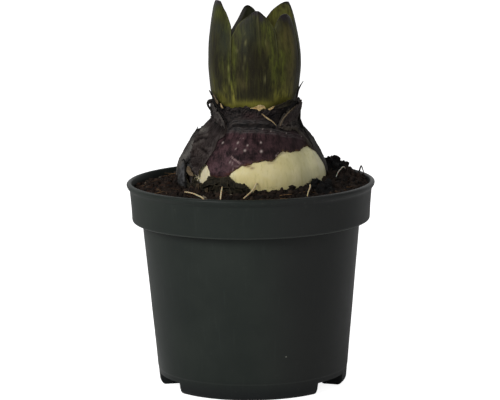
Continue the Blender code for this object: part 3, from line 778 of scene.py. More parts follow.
def strewGroup(finish):  # crumbs of a few shapes, strewn over the faces whose corners are marked as the top
    group, ends = openGroup("strewCrumbs", {"Per Square Metre": 1000.0, "Smallest": 0.0005, "Largest": 0.002,
                                            "Detail": 1, "Seed": 1})
    isTop = addNode("FunctionNodeCompare", {0: namedValue("onTop"), 1: 0.5}, operation="GREATER_THAN")
    seed = ends["Seed"]
    spots = addNode("GeometryNodeDistributePointsOnFaces", {
        "Mesh": ends["Geometry"], "Selection": isTop, "Density": ends["Per Square Metre"],
        "Seed": seed}, "Points")
    middle = addNode("GeometryNodeInputPosition")
    shapes = group.nodes.new("GeometryNodeJoinGeometry")
    for number in range(soilSizes["crumbShapes"]):
        ball = addNode("GeometryNodeMeshIcoSphere", {"Radius": 1.0, "Subdivisions": ends["Detail"]})
        knock = addNode("ShaderNodeTexNoise", {
            "Vector": middle, "W": 3.7 * number, "Scale": 1.1, "Detail": 1.0}, "Color", noise_dimensions="4D")
        push = addNode("ShaderNodeVectorMath", {0: knock, 1: (0.5, 0.5, 0.5)}, operation="SUBTRACT")
        push = addNode("ShaderNodeVectorMath", {0: push, 3: soilSizes["crumbKnock"]}, operation="SCALE")
        lump = addNode("GeometryNodeSetPosition", {"Geometry": ball, "Offset": push})
        feed(shapes.inputs[0], addNode("GeometryNodeGeometryToInstance", {"Geometry": lump}))
    small = chance(seed, 0.0, 1.0, shift=1.0)
    small = addNode("ShaderNodeMath", {0: small, 1: soilSizes["crumbBias"]}, operation="POWER")
    size = addNode("ShaderNodeMapRange", {
        "Value": small, "To Min": ends["Smallest"], "To Max": ends["Largest"]})
    stretch = chance(seed, *soilSizes["crumbStretch"], "FLOAT_VECTOR", 2.0)
    size = addNode("ShaderNodeVectorMath", {0: stretch, 3: size}, operation="SCALE")
    strewn = addNode("GeometryNodeInstanceOnPoints", {
        "Points": spots, "Instance": shapes.outputs[0], "Pick Instance": True,
        "Instance Index": chance(seed, 0, soilSizes["crumbShapes"] - 1, "INT", 3.0),
        "Rotation": chance(seed, (0.0,) * 3, (math.tau,) * 3, "FLOAT_VECTOR", 4.0), "Scale": size})
    closeGroup(strewn, "crumbTone", chance(seed, 0.0, 1.0, shift=5.0), finish)
    return group


def strewCrumbs(soil):
    group = strewGroup(soil.data.materials[0])
    for name, perSquareCm, low, high, detail, seed in soilSizes["crumbs"]:
        crumbs = growFrom(soil, group, {"Per Square Metre": perSquareCm * 1e4, "Smallest": low * mm,
                                        "Largest": high * mm, "Detail": detail, "Seed": seed}, name)
        settle(crumbs, "soil")
        print(name, len(crumbs.data.polygons), "faces")


fibreSizes = {
    "count": 70,
    "seed": 5,
    "share": (0.08, 0.9),   # of the way from the bulb to the pot
    "length": (2.0, 6.5),
    "bow": 1.2,
    "radius": (0.07, 0.17),
    "steps": 8,
    "sides": 5,
    "height": 71.0,
    "fromPot": 0.5,
    "lift": 0.35,
    "paleBias": 2.5,   # how rare pale fibres are
}


def fibreFinish():
    finish, shader = newFinish("peatFibre", 0.8, 0.25)
    streak = noiseOf(objectPlace(), 0.5)
    paint(shader, coats(blend(mark("fibreTone"), tone(44, 28, 20), tone(138, 106, 70)),
                        (reach(streak, 0.4, 0.7, 0.0, 0.5), tone(60, 40, 28))))
    return finish


def makeFibres():
    draw = np.random.default_rng(fibreSizes["seed"])
    steps = fibreSizes["steps"]
    t = np.linspace(-1.0, 1.0, steps)
    grids, tones = [], []
    for _ in range(fibreSizes["count"]):
        angle, share = draw.uniform(-180, 180), draw.uniform(*fibreSizes["share"])
        bulbEdge = onBulb(angle, readRound(soilSizes["atBulb"], angle), 0.0)
        rim = polar(angle, potWall(fibreSizes["height"]), fibreSizes["height"])
        middle = bulbEdge + (rim - bulbEdge) * share
        if any(math.dist(middle[:2], spot[:2]) < far for spot, far in soilSizes["blackSpots"]):
            continue
        length, lean = draw.uniform(*fibreSizes["length"]), draw.uniform(0, math.pi)
        bow = draw.uniform(-fibreSizes["bow"], fibreSizes["bow"])
        along, side = np.array([math.cos(lean), math.sin(lean)]), np.array([-math.sin(lean), math.cos(lean)])
        path = np.zeros((steps, 3))
        path[:, :2] = middle[:2] + np.outer(t, along) * length / 2 + np.outer(1 - t**2, side) * bow
        fromAxis = np.hypot(path[:, 0], path[:, 1])
        inside = np.minimum(1.0, (potWall(fibreSizes["height"] + 1.0) - fibreSizes["fromPot"]) / fromAxis)
        path[:, :2] *= inside[:, None]
        height = soilTop(np.full(steps, angle), np.full(steps, share), path).mean() + fibreSizes["lift"]
        path[:, 2] = height + 0.5 * draw.uniform(-1, 1, 2) @ np.stack([t, t**2 - 0.3])
        thick = draw.uniform(*fibreSizes["radius"])
        grids.append(tubeGrid(path, thick * (1.0 - 0.7 * t**2), fibreSizes["sides"]))
        tones.append(draw.uniform(0, 1) ** fibreSizes["paleBias"])
    settle(joinGrids("peatFibres", grids, fibreFinish(), {"fibreTone": tones}), "soil")


soil = makeSoil()
strewCrumbs(soil)
makeFibres()
print("soil made")


# Fleshy bulb and its roots

fleshSizes = {
    "columns": 300,
    "rows": 110,
    "stepFade": 9.0,   # degrees
    "leastDepth": 1.7,
    "snug": 1.1,   # how far it fills the thin dry skin on the right
    "scaleEdges": [(-62.0, 0.35), (68.0, 0.3), (150.0, 0.4), (232.0, 0.35)],   # angle and step
    # brown stains, and painted contact shade in thin bands just under the purple skin's lower edge
    "edgeShadeAndStains": [(-3.5, 83.4, 1, 0.5, 1), (-0.3, 82.7, 0.8, 0.4, 0.8), (16, 84.3, 1.4, 0.35, 0.5),
        (31, 87.2, 1.6, 0.3, 0.5), (1.8, 75, 0.35, 1.2, 0.8), (62, 76.5, 1.5, 0.5, 0.35)],
    "roots": [
        [(-12, -12, 58), (-20, -17, 64), (-23.6, -19.4, 70), (-23.4, -21.4, 73), (-21.4, -25.6, 73.7),
            (-18.8, -29.6, 73.5), (-16.6, -32.4, 72.6), (-15.6, -33.4, 69.4)],
        [(-6, -15, 58), (-9.4, -22, 66), (-9.8, -24.2, 74), (-9.9, -27, 75.8), (-10.1, -30.4, 75.2),
            (-10.5, -33.8, 73.4), (-11, -36.4, 69)],
        [(1, -17, 59), (1.6, -23.4, 66), (2.2, -24.4, 73), (2.2, -26, 76.8), (1.3, -27.8, 75.6),
            (0, -29.8, 74.2), (-2, -33, 73.1), (-3.8, -35.6, 71.6), (-4.2, -36.2, 69.2)],
        [(12, -12, 58), (19, -16.5, 66), (21, -18.9, 72), (21.1, -20.4, 75), (20.9, -24.8, 74.7),
            (20, -29.6, 73.5), (18.9, -33, 69.4)],
        [(17, -3, 59), (28, 2.4, 66), (34.4, 4.2, 74.4), (33.8, 1.2, 78), (32.2, -1.4, 77.2),
            (30.8, -4, 75.4), (29.6, -6.6, 72)],
    ],
    "rootRadii": (0.31, 0.29, 0.29, 0.28, 0.19),
    "rootOld": (0.0, 0.0, 0.0, 0.0, 0.9),
    "rootSteps": 7,
    "rootSides": 10,
    "rootWander": (0.12, 2.2, (1.3, 4.7, 8.1)),   # how far, over what length, and a seed for each axis
}


def fleshFinish():
    finish, shader = newFinish("bulbFlesh", 0.42, 0.4, Subsurface_Weight=0.12, Subsurface_Scale=0.004,
                               Subsurface_Radius=(1.0, 0.8, 0.35))
    place = objectPlace()
    x, z = partOf(place, "X"), partOf(place, "Z")
    cloud = noiseOf(place, 6.0, 3.0)
    vein = noiseOf(stretched(place, 1.1, 1.1, 16.0), 1.0, 3.0, 0.6)
    dirt = reach(noiseOf(place, 1.3, 4.0, 0.7), 0.55, 0.72)
    colour = coats(
        tone(214, 200, 142),
        # painted light and shade: lighter on the left, where the light comes from, and darker towards the
        # right; the far right is also paler and less yellow
        (reach(x, 2.0, 24.0), tone(186, 180, 136)),
        (reach(x, 15.0, 23.0), tone(208, 202, 160)),
        (reach(x, -9.0, -15.0), tone(222, 212, 178)),
        (reach(cloud, 0.42, 0.66, 0.0, 0.4), tone(222, 212, 172)),
        (reach(vein, 0.5, 0.72, 0.0, 0.35), tone(166, 156, 96)),
        (reach(z, 77.5, 73.0, 0.0, 0.35), tone(168, 158, 104)),
        # stains, and painted contact shade under the purple skin's lower edge
        (mark("edgeShadeAndStain"), tone(104, 62, 34)),
        (times(dirt, reach(z, 77.0, 73.8, 0.0, 0.85)), tone(74, 54, 34)))
    paint(shader, colour)
    bump(shader, plus(vein, times(cloud, 0.5)), 0.12, 0.35)
    return finish


def rootFinish():
    finish, shader = newFinish("paleRoot", 0.5, 0.4, Subsurface_Weight=0.15, Subsurface_Scale=0.002)
    place = objectPlace()
    spots = reach(noiseOf(place, 0.5, 3.0), 0.62, 0.75, 0.0, 0.7)
    paint(shader, coats(tone(222, 206, 168), (noiseOf(place, 1.6), tone(184, 158, 112)),
                        (mark("old"), tone(168, 164, 154)), (spots, tone(120, 84, 54))))
    return finish


def makeRoots():
    wander, length, seeds = fleshSizes["rootWander"]
    grids = []
    for number, route in enumerate(fleshSizes["roots"]):
        path = smoothPath(route, fleshSizes["rootSteps"])
        t = np.linspace(0.0, 1.0, len(path))
        x, z = path[:, 0], path[:, 2]
        path += wander * np.stack([fractal(x, z, seed + number, length, 2) for seed in seeds], -1)
        radii = fleshSizes["rootRadii"][number] * (1.12 - 0.4 * t + 0.12 * np.sin(9.0 * t + number))
        grids.append(tubeGrid(path, radii, fleshSizes["rootSides"]))
    settle(joinGrids("paleRoots", grids, rootFinish(), {"old": fleshSizes["rootOld"]}), "bulb", "bulb")


def makeFlesh():
    columns, bottom, top = fleshSizes["columns"], bulbSizes["bottom"], bulbSizes["fleshTop"]
    angle = np.arange(columns)[:, None] * fullTurn / columns
    level = np.linspace(bottom, top, fleshSizes["rows"])[None]
    turn = halfTurned(angle)
    depth = np.full(np.broadcast(angle, level).shape, bulbSizes["fleshDepth"])
    for edge, step in fleshSizes["scaleEdges"]:   # each fleshy scale laps over the next at a soft step
        away = halfTurned(turn - edge)
        depth += step * np.exp(-np.clip(away, 0.0, None) / fleshSizes["stepFade"]) * (away > -0.1)
    x, y = np.sin(np.radians(angle)) * 22.0, np.cos(np.radians(angle)) * 22.0
    depth += 0.10 * fractal(x, y, level * 0.25, 1.6, 2) + 0.18 * fractal(x, y, level, 9.0, 2)
    snug = smooth(52.0, 68.0, turn) * fade(95.0, 110.0, turn) * fade(85.0, 89.0, level)
    grid = onBulb(angle, level, depth.clip(fleshSizes["leastDepth"], None) - fleshSizes["snug"] * snug)
    low = grid[..., 2].min()
    grid[..., 2] = grid[..., 2].clip(None, top)
    closed = np.concatenate([pole(low, columns), grid, pole(top, columns)], 1)
    edgeShadeAndStain = np.pad(blots(turn, level, fleshSizes["edgeShadeAndStains"]), ((0, 0), (1, 1)))
    settle(turnedPiece("fleshyBulb", closed, fleshFinish(), {"edgeShadeAndStain": edgeShadeAndStain}), "bulb", "bulb")


makeFlesh()
makeRoots()
print("bulb made")


# Purple skin, with its wrinkled collar

purpleSizes = {
    "lower": [(-60, 83.5), (-50, 83.6), (-45, 83.4), (-42.4, 83.1), (-38.9, 82), (-36.9, 81), (-36.2, 79.5),
        (-34.9, 79), (-27.9, 78.1), (-22, 78.8), (-18.9, 79.6), (-17.6, 80.9), (-14.4, 82), (-8.2, 83.5),
        (-2, 83.5), (3.6, 84.5), (10, 85.1), (16, 84.7), (20, 85), (25.4, 87.2), (29, 88.1), (36, 87.5),
        (41, 87.1), (48, 87.3), (54, 87.6), (58, 88.4), (75, 87.6), (120, 84), (180, 85.5), (240, 84),
        (300, 83.5)],
    "upper": [(-60, 103.4), (-45, 102.1), (-32, 101.7), (-21, 102.2), (-11, 102.6), (0, 101.9), (8, 101.5),
        (18, 101.7), (27, 102.6), (37, 102.7), (49, 102.7), (68, 102.8), (80, 101.8), (120, 102.8),
        (160, 102.2), (200, 103.3), (240, 102.3), (262, 101.4), (274, 100.4), (286, 101.2), (293, 103.2),
        (300, 103.4)],
    "torn": (3.0, 1.0, 0.5),   # seed, size and depth of the lower edge's tears
    "tornAbove": (9.0, 1.3, 0.4),
    "columns": (-60.0, 80.0, 300.0, 0.8, 4.0),   # finer columns up to the second angle, then coarser ones
    "bulge": ((-40.0, -22.0), (25.0, 31.5), (94.4, 96.8), 1.0),   # left, right, heights, how far
    "folds": [
        [(-36, 96.3), (-29, 97.3), (-12, 97.7), (3, 97.6), (16, 96.9), (30, 95.9)],
        [(-34, 95.7), (-26, 96.6), (-12, 96.9), (4, 96.9), (20, 96.2), (30, 95.6)],
        [(-32, 95.1), (-10, 95.3), (10, 95.2), (31, 94.3), (54, 92.4), (76, 90.4)],
        [(-34, 94.5), (-16, 94.7), (4, 94.6), (24, 94), (44, 92.5), (76, 89.2)],
        [(-30, 94), (-14, 94.2), (8, 94), (30, 93), (60, 90.4), (76, 88.6)],
    ],
    "gap": [(-33, 95.2), (-18, 95.9), (1, 96), (17, 95.6), (30, 94.8)],
    "foldWidth": 0.26,
    "gapWidth": 0.42,
    "foldHeight": 0.5,
    "gapDepth": 0.45,
    "collarFrom": 93.6,
    "wall": 0.3,
    "rows": 90,
    "dots": [(-30.8, 90.7, 0.32, 0.34, 0.9), (-14.4, 90.9, 0.32, 0.32, 0.9), (-13.2, 92.3, 0.14, 0.14, 0.5),
        (-9.8, 92.4, 0.16, 0.14, 0.6), (-4.4, 90.1, 0.28, 0.26, 0.9), (8.9, 90.9, 0.32, 0.3, 0.9),
        (-6.6, 88.4, 0.4, 0.38, 0.9), (8.5, 88, 0.4, 0.4, 1), (-15.4, 88.9, 0.26, 0.24, 0.7),
        (22.3, 86.4, 0.34, 0.3, 0.9), (24.5, 87.3, 0.2, 0.2, 0.5), (10.9, 95, 0.22, 0.16, 0.7),
        (21.1, 94.2, 0.22, 0.16, 0.7), (40.9, 93.1, 0.2, 0.16, 0.6), (62, 91.2, 0.3, 0.16, 0.6),
        (-18.9, 84.3, 0.24, 0.3, 0.8), (-16.6, 83.6, 0.2, 0.2, 0.6)],
    "pink": [(-31, 82, 3.4, 2.6, 0.8), (-22, 84.5, 2.4, 2, 0.7), (-12, 84.3, 2.6, 0.8, 0.9),
        (-27, 88, 2.4, 2.4, 0.3), (-19, 81, 3.2, 1.2, 0.9), (-16, 90, 3.6, 3, 0.25),
        (-24.5, 86.5, 0.7, 3.4, 0.6)],
    "scratch": [(-18.3, 86.3), (-16, 85.4), (-13.5, 84.9), (-10.5, 84.1)],
    "scuff": [(-16.8, 84.2, 0.22, 0.22, 0.6), (-16, 82.2, 0.2, 0.5, 0.4), (-12.5, 83.2, 1.4, 0.2, 0.35)],
    "rusty": [(-31, 78.8, 1.2, 0.6, 0.7), (-24, 78.8, 1.6, 0.4, 0.6), (-18, 80.3, 1.6, 0.4, 0.8),
        (-4, 83.6, 1, 0.6, 0.9), (-0.6, 83.3, 1.3, 0.5, 1)],
    "blush": [(-6, 99.4, 3.6, 1.3, 0.9), (3, 98.8, 2.2, 1, 0.6)],
    # painted shade in a hollow
    "hollow": [(20, 98.6, 3.2, 2, 0.9)],
}


def skinColours(place):  # dead papery tissue: blue-black folds with silvery ridges
    fold = noiseOf(stretched(place, 3.4, 1.1), 1.0, 4.0, 0.65)
    fine = noiseOf(stretched(place, 0.5, 1.4), 1.0, 4.0, 0.7)
    colour = coats(tone(26, 25, 26), (reach(fold, 0.38, 0.64), tone(57, 51, 49)),
                   (reach(fine, 0.56, 0.74, 0.0, 0.7), tone(84, 76, 71)))
    return colour, fine


def purpleFinish():
    finish, shader = newFinish("purpleSkin", 0.55, 0.06)
    place = skinPlace()
    mottle = noiseOf(place, 3.4, 4.0, 0.65)
    streak = noiseOf(stretched(place, 0.7, 3.4), 1.0, 3.0, 0.6, 0.6)
    freckle = noiseOf(place, 0.8, 4.0, 0.7)
    pinkish = times(mark("pink"), reach(noiseOf(place, 1.2, 4.0, 0.65), 0.36, 0.6, 0.1, 1.0))
    dry, fine = skinColours(place)
    torn = times(mark("rim"), reach(noiseOf(place, 1.1, 3.0), 0.42, 0.6))
    colour = coats(
        tone(20, 13, 15),
        (reach(mottle, 0.38, 0.62), tone(70, 50, 53)),
        (reach(streak, 0.5, 0.66, 0.0, 0.4), tone(80, 58, 60)),
        (reach(freckle, 0.5, 0.66, 0.0, 0.75), tone(28, 19, 21)),
        (reach(partOf(place, "X"), -6.0, 16.0, 0.0, 0.6), tone(42, 32, 33)),
        (pinkish, tone(92, 68, 73)),
        (mark("scratch"), tone(176, 150, 146)),
        (mark("collar"), dry),
        # painted highlight on the collar's fold crests
        (mark("highlightAndStrands"), tone(88, 85, 84)),
        # painted shade in the gap above the collar's folds and in a hollow
        (mark("gap"), tone(18, 16, 17)),
        (mark("blush"), tone(58, 44, 44)),
        (mark("dots"), tone(182, 166, 160)),
        (mark("rusty"), tone(86, 50, 34)),
        (torn, tone(87, 65, 42)))
    paint(shader, colour, reach(mark("collar"), 0.0, 1.0, 0.55, 0.7))
    crumple = plus(mottle, times(fine, mark("collar")))
    bump(shader, plus(crumple, streak), 0.22, 0.6)
    return finish


def skinGrid(low, high, rows):
    return low[:, None] + (high - low)[:, None] * np.linspace(0.0, 1.0, rows)[None]


def tornEdge(angle, seed, size=1.0, lift=0.5):
    arc = arcOf(angle)
    return lift * (fractal(arc, seed, 0.0, 2.2 * size, 3) + 0.5 * fractal(arc, seed, 7.0, 0.8 * size, 2))


def foldsOf(turn, level, arc):  # the collar's folds, and the dark gap above them
    wave = level + 0.35 * fractal(arc, level * 0.4, 5.0, 5.0, 3)
    folds = []
    for number, points in enumerate(purpleSizes["folds"]):
        strength = (0.85 + 0.5 * fractal(arc, number, 3.0, 3.0, 2)).clip(0.3, 1.2)
        folds.append(hump(wave, readLine(points, turn), purpleSizes["foldWidth"]) * strength)
    fold = np.max(folds, 0) * smooth(-38.0, -32.0, turn) * fade(60.0, 76.0, turn)
    gap = hump(wave, readLine(purpleSizes["gap"], turn), purpleSizes["gapWidth"])
    return fold, gap * smooth(-36.0, -30.0, turn) * fade(26.0, 34.0, turn)


def makePurple():
    start, change, end, fine, coarse = purpleSizes["columns"]
    angle = np.concatenate([np.arange(start, change, fine), np.arange(change, end, coarse)])
    turn = halfTurned(angle[:, None])
    lower = readRound(purpleSizes["lower"], angle) + tornEdge(angle, *purpleSizes["torn"])
    upper = readRound(purpleSizes["upper"], angle) + tornEdge(angle, *purpleSizes["tornAbove"]) + 0.1
    level = skinGrid(lower, upper, purpleSizes["rows"])
    arc = arcOf(angle)[:, None] + 0.0 * level
    left, right, heights, out = purpleSizes["bulge"]
    bulge = smooth(*left, turn) * fade(*right, turn) * smooth(*heights, level)
    low = purpleSizes["collarFrom"] - 0.9 * smooth(10.0, 40.0, turn)
    collar = smooth(low, low + 1.5, level + 0.7 * fractal(arc, 2.0, 0.0, 5.0, 2))
    fromLow = level - lower[:, None]
    fold, gap = foldsOf(turn, level, arc)
    lift = out * bulge + purpleSizes["foldHeight"] * fold - purpleSizes["gapDepth"] * gap
    rightward, leftward = creases(arc, level, 58.0, 1.2, 5.0, 2.2), creases(arc, level, -62.0, 1.0, 4.0, 6.1)
    lift += smooth(98.0, 99.4, level) * (0.75 * rightward + 0.45 * leftward - 0.5)
    veins = 0.05 * fractal(arc, level * 0.3, 1.0, 0.7, 2) + 0.14 * fractal(arc, level, 2.0, 7.0, 2)
    lift += (1.0 - collar) * veins
    press = 0.55 * fade(0.0, 2.6, fromLow)
    press = press + 0.12 * fractal(arc, level, 4.0, 1.6, 2) * fade(0.0, 1.5, fromLow)
    depth = bulbSizes["purpleDepth"] - lift + press
    depth = depth.clip(None, bulbSizes["fleshDepth"] - purpleSizes["wall"])
    scratch = fade(0.04, 0.2, edgeDistance(turn, level, purpleSizes["scratch"]))
    marks = blotsOf(purpleSizes, turn, level, "dots", "pink", "rusty", "blush", "scuff", "hollow")
    marks["scratch"] = np.maximum(scratch, marks.pop("scuff"))
    # painted shade in the gap's groove and in the hollow
    marks["gap"] = np.maximum(0.6 * smooth(0.3, 0.9, gap), marks.pop("hollow"))
    # fold crests are painted lighter as a highlight, more in some places than others
    silver = (0.4 + 0.35 * fractal(arc, level * 2.0, 3.0, 2.0, 2)).clip(0.1, 0.8)
    marks["highlightAndStrands"] = smooth(0.35, 0.95, fold) * silver
    marks["rim"] = fade(0.1, 0.7, fromLow)
    marks["collar"] = collar
    wall, finish = purpleSizes["wall"], purpleFinish()
    skin = skinPiece("purpleSkin", angle[:, None], level, depth, wall, marks, finish, closed=True)
    settle(skin, "tunic_purple", "tunic_purple")


makePurple()
print("purple skin made")


# Dry outer skin, torn open in front

drySizes = {
    "lower": [(31.5, 95), (34, 94.4), (44.5, 93.9), (57, 93.8), (62, 93), (65.5, 90.5), (68, 88),
        (71, 86.3), (73.4, 85), (75.4, 83), (77.4, 80.8), (79.4, 78.6), (82, 76.2), (86.5, 69), (305, 69),
        (306, 77), (308, 80.5), (311, 84), (314, 89), (315, 93)],
    "upper": [(31.5, 95.7), (33.4, 97.1), (40, 99.6), (49, 101), (60, 101.5), (68, 102.8), (82, 101.6),
        (110, 103), (135, 102), (160, 103.6), (185, 101.8), (210, 103.2), (240, 102.4), (262, 101.2),
        (274, 100.2), (284, 100.6), (292, 102), (303, 98.5), (312, 96.4), (315, 94.6)],
    "leftEdge": [(303, 98.5), (312, 96.4), (315, 94), (314, 89), (311, 84), (308, 80.5), (306, 77)],
    "rightEdge": [(60.3, 101.4), (49, 101), (39.9, 99.6), (33.4, 97.1), (31.3, 95.3), (44.5, 93.9),
        (57, 93.8), (62, 93), (65.5, 90.5), (68, 88), (71, 86.3), (73.4, 85), (75.4, 83), (77.4, 80.8),
        (79.4, 78.6), (82, 76.2), (84.6, 72)],
    "columns": [(31.5, 100.0, 0.7), (100.0, 255.0, 1.6), (255.0, 315.01, 0.6)],   # from, to, each
    "torn": (21.0, 0.8, 0.35),   # seed, size and depth of the lower edge's tears
    "tornAbove": (33.0, 0.9, 0.9),
    "leastHeight": 0.25,
    "wall": 0.3,
    "rows": 84,
    "stepLevel": 92.0,   # of the torn step on the left
    "strands": (0.7, 1.7, 2.8),   # distances from the right torn edge
    "strandWidth": 0.16,
    "pale": [(290, 89, 2.6, 4, 1), (286, 84, 2.4, 4, 1), (276, 80, 2, 4, 0.8), (47, 99, 2, 2, 0.4)],
    # painted shade in patches on the right, and in pits pushed in beside the lobe
    "dimShade": [(66, 91, 2.4, 3, 0.8), (80, 83, 3.6, 7, 0.7), (88, 90, 3.6, 5, 0.4), (90, 98, 4, 4, 0.7)],
    "shadedPit": [(301.5, 77, 1.8, 4, 1), (294, 83, 1.8, 1, 0.8)],
    "brown": [(40, 94.5, 2.4, 1.4, 0.7), (50, 93.5, 3, 1.2, 0.5), (300, 78.5, 2, 2, 0.7)],
}


def dryFinish(name="drySkin", light=(70, 66, 64), dark=(36, 33, 32)):
    finish, shader = newFinish(name, 0.6, 0.08)
    place = skinPlace()
    cloud = noiseOf(place, 4.5, 4.0, 0.6)
    fibre = noiseOf(stretched(place, 0.45, 5.5), 1.0, 4.0, 0.65, 0.4)
    hair = noiseOf(stretched(place, 0.2, 3.4), 1.0, 3.0, 0.6, 0.5)
    grain = noiseOf(stretched(place, 1.3, 0.55), 1.0, 4.0, 0.7)
    pale = mark("pale")
    colour = coats(
        tone(*dark),
        (reach(cloud, 0.36, 0.64), tone(*light)),
        (reach(fibre, 0.5, 0.7, 0.0, 0.6), tone(94, 90, 87)),
        (reach(fibre, 0.48, 0.34, 0.0, 0.6), tone(24, 21, 21)),
        (reach(hair, 0.48, 0.36, 0.0, 0.6), tone(22, 20, 20)),
        # painted highlight on raised wrinkles and folds; on the dry skin also its pale fibre strands
        (mark("highlightAndStrands", 0.65), tone(92, 86, 82)),
        (mark("brown", 0.7), tone(58, 48, 45)),
        (times(pale, reach(cloud, 0.25, 0.6, 0.4, 0.9)), tone(106, 103, 98)),
        (times(pale, reach(grain, 0.5, 0.64, 0.0, 0.75)), tone(56, 51, 48)),
        (times(pale, reach(grain, 0.47, 0.36, 0.0, 0.6)), tone(126, 119, 110)),
        (mark("rim", 0.5), tone(84, 76, 66)),
        # painted shade in pits, creases, cuts and along edges
        (mark("paintedShade", 0.9), tone(18, 14, 14)))
    paint(shader, colour, reach(fibre, 0.3, 0.7, 0.75, 0.55))
    bump(shader, plus(fibre, times(cloud, 0.4)), 0.16, 0.6)
    return finish


def dryLift(angle, arc, level):  # how far wrinkles raise the dry skin
    big = creases(arc, level, -32.0, 2.6, 7.5, 1.4)
    small = creases(arc, level, -18.0, 1.2, 4.0, 8.3)
    vertical = creases(arc, level, 4.0, 1.5, 9.0, 4.9)
    side = smooth(286.0, 270.0, angle)
    neck = smooth(90.0, 97.0, level)
    lift = (0.5 * big + 0.25 * small) * (1.0 - 0.75 * side) + vertical * (0.45 * side + 0.35 * neck)
    return lift - 0.25 + 0.3 * fractal(arc, level, 3.0, 9.0, 2)


def tornStep(angle, level):  # on the left, the skin steps in above a torn line
    above = level - drySizes["stepLevel"]
    step = 0.3 * hump(above, -0.3, 0.3) - 0.95 * smooth(0.0, 0.4, above)
    step += 0.35 * smooth(5.0, 7.0, above) - 0.35 * smooth(0.5, 2.0, above) * smooth(6.5, 5.0, above)
    return step * smooth(250.0, 262.0, angle)


def makeDry():
    column = np.concatenate([np.arange(*part) for part in drySizes["columns"]])
    lower = readLine(drySizes["lower"], column) + tornEdge(column, *drySizes["torn"])
    ends = smooth(31.0, 40.0, column) * smooth(315.0, 308.0, column)
    upper = readLine(drySizes["upper"], column) + tornEdge(column, *drySizes["tornAbove"]) * ends
    upper = np.maximum(upper, lower + drySizes["leastHeight"])
    level = skinGrid(lower, upper, drySizes["rows"])
    angle = column[:, None] + 0.0 * level
    arc = arcOf(angle)
    toLeft, toRight = (edgeDistance(angle, level, drySizes[key]) for key in ("leftEdge", "rightEdge"))
    toEdge = np.minimum(toLeft, toRight)
    spots = blotsOf(drySizes, angle, level, "pale", "dimShade", "shadedPit", "brown")
    under = smooth(283.0, 290.0, angle)   # lies flat where the front flap covers it
    lift = dryLift(angle, arc, level) * smooth(0.0, 1.2, toEdge)
    lift = lift * (1.0 - under) - 0.2 * under - 0.5 * spots["shadedPit"]
    lift *= 1.0 - 0.8 * smooth(92.0, 82.0, angle) * smooth(92.0, 88.0, level)   # thin and tight on the right
    lift += 0.6 * hump(toRight, 0.5, 0.5) * smooth(92.5, 95.0, level) * (angle < 62.0)
    lift += tornStep(angle, level) * (1.0 - 0.5 * under)
    tuck = 0.6 * fade(0.0, 0.9, toEdge) + 0.25 * fade(0.0, 2.5, toRight) * smooth(92.0, 88.0, level)
    top = upper[:, None]
    flare = 0.8 * smooth(top - 3.5, top, level) * (0.5 + fractal(arc, 0.0, 12.0, 3.0, 2))
    snug = smooth(60.0, 74.0, angle) * smooth(130.0, 105.0, angle) * smooth(95.0, 91.0, level)
    neck = smooth(60.0, 70.0, angle) * smooth(125.0, 110.0, angle) * smooth(90.5, 93.5, level)
    flare = flare * (angle > 70.0) * (angle < 250.0) * (1.0 - 0.6 * neck)   # only round the back
    depth = bulbSizes["dryDepth"] - lift + tuck - flare
    depth += 0.25 * snug + 0.45 * neck
    width = drySizes["strandWidth"]
    strands = sum(hump(toRight, away, width) for away in drySizes["strands"]) * (angle > 62.0)
    marks = {
        # painted highlight on the raised wrinkles, and the pale fibre strands along the right torn edge
        "highlightAndStrands": np.maximum(smooth(0.3, 0.75, lift), 1.3 * strands * smooth(94.0, 91.0, level)),
        "brown": spots["brown"],
        "pale": spots["pale"],
        "rim": fade(0.1, 0.8, toEdge),
        # painted shade in the pits and in the patches on the right
        "paintedShade": np.maximum(spots["shadedPit"], 0.6 * spots["dimShade"]),
    }
    skin = skinPiece("drySkin", angle, level, depth, drySizes["wall"], marks, dryFinish())
    settle(skin, "tunic_dry", "tunic_dry")


makeDry()
print("dry skin made")


# Torn strips, flaps and fibres on the skins

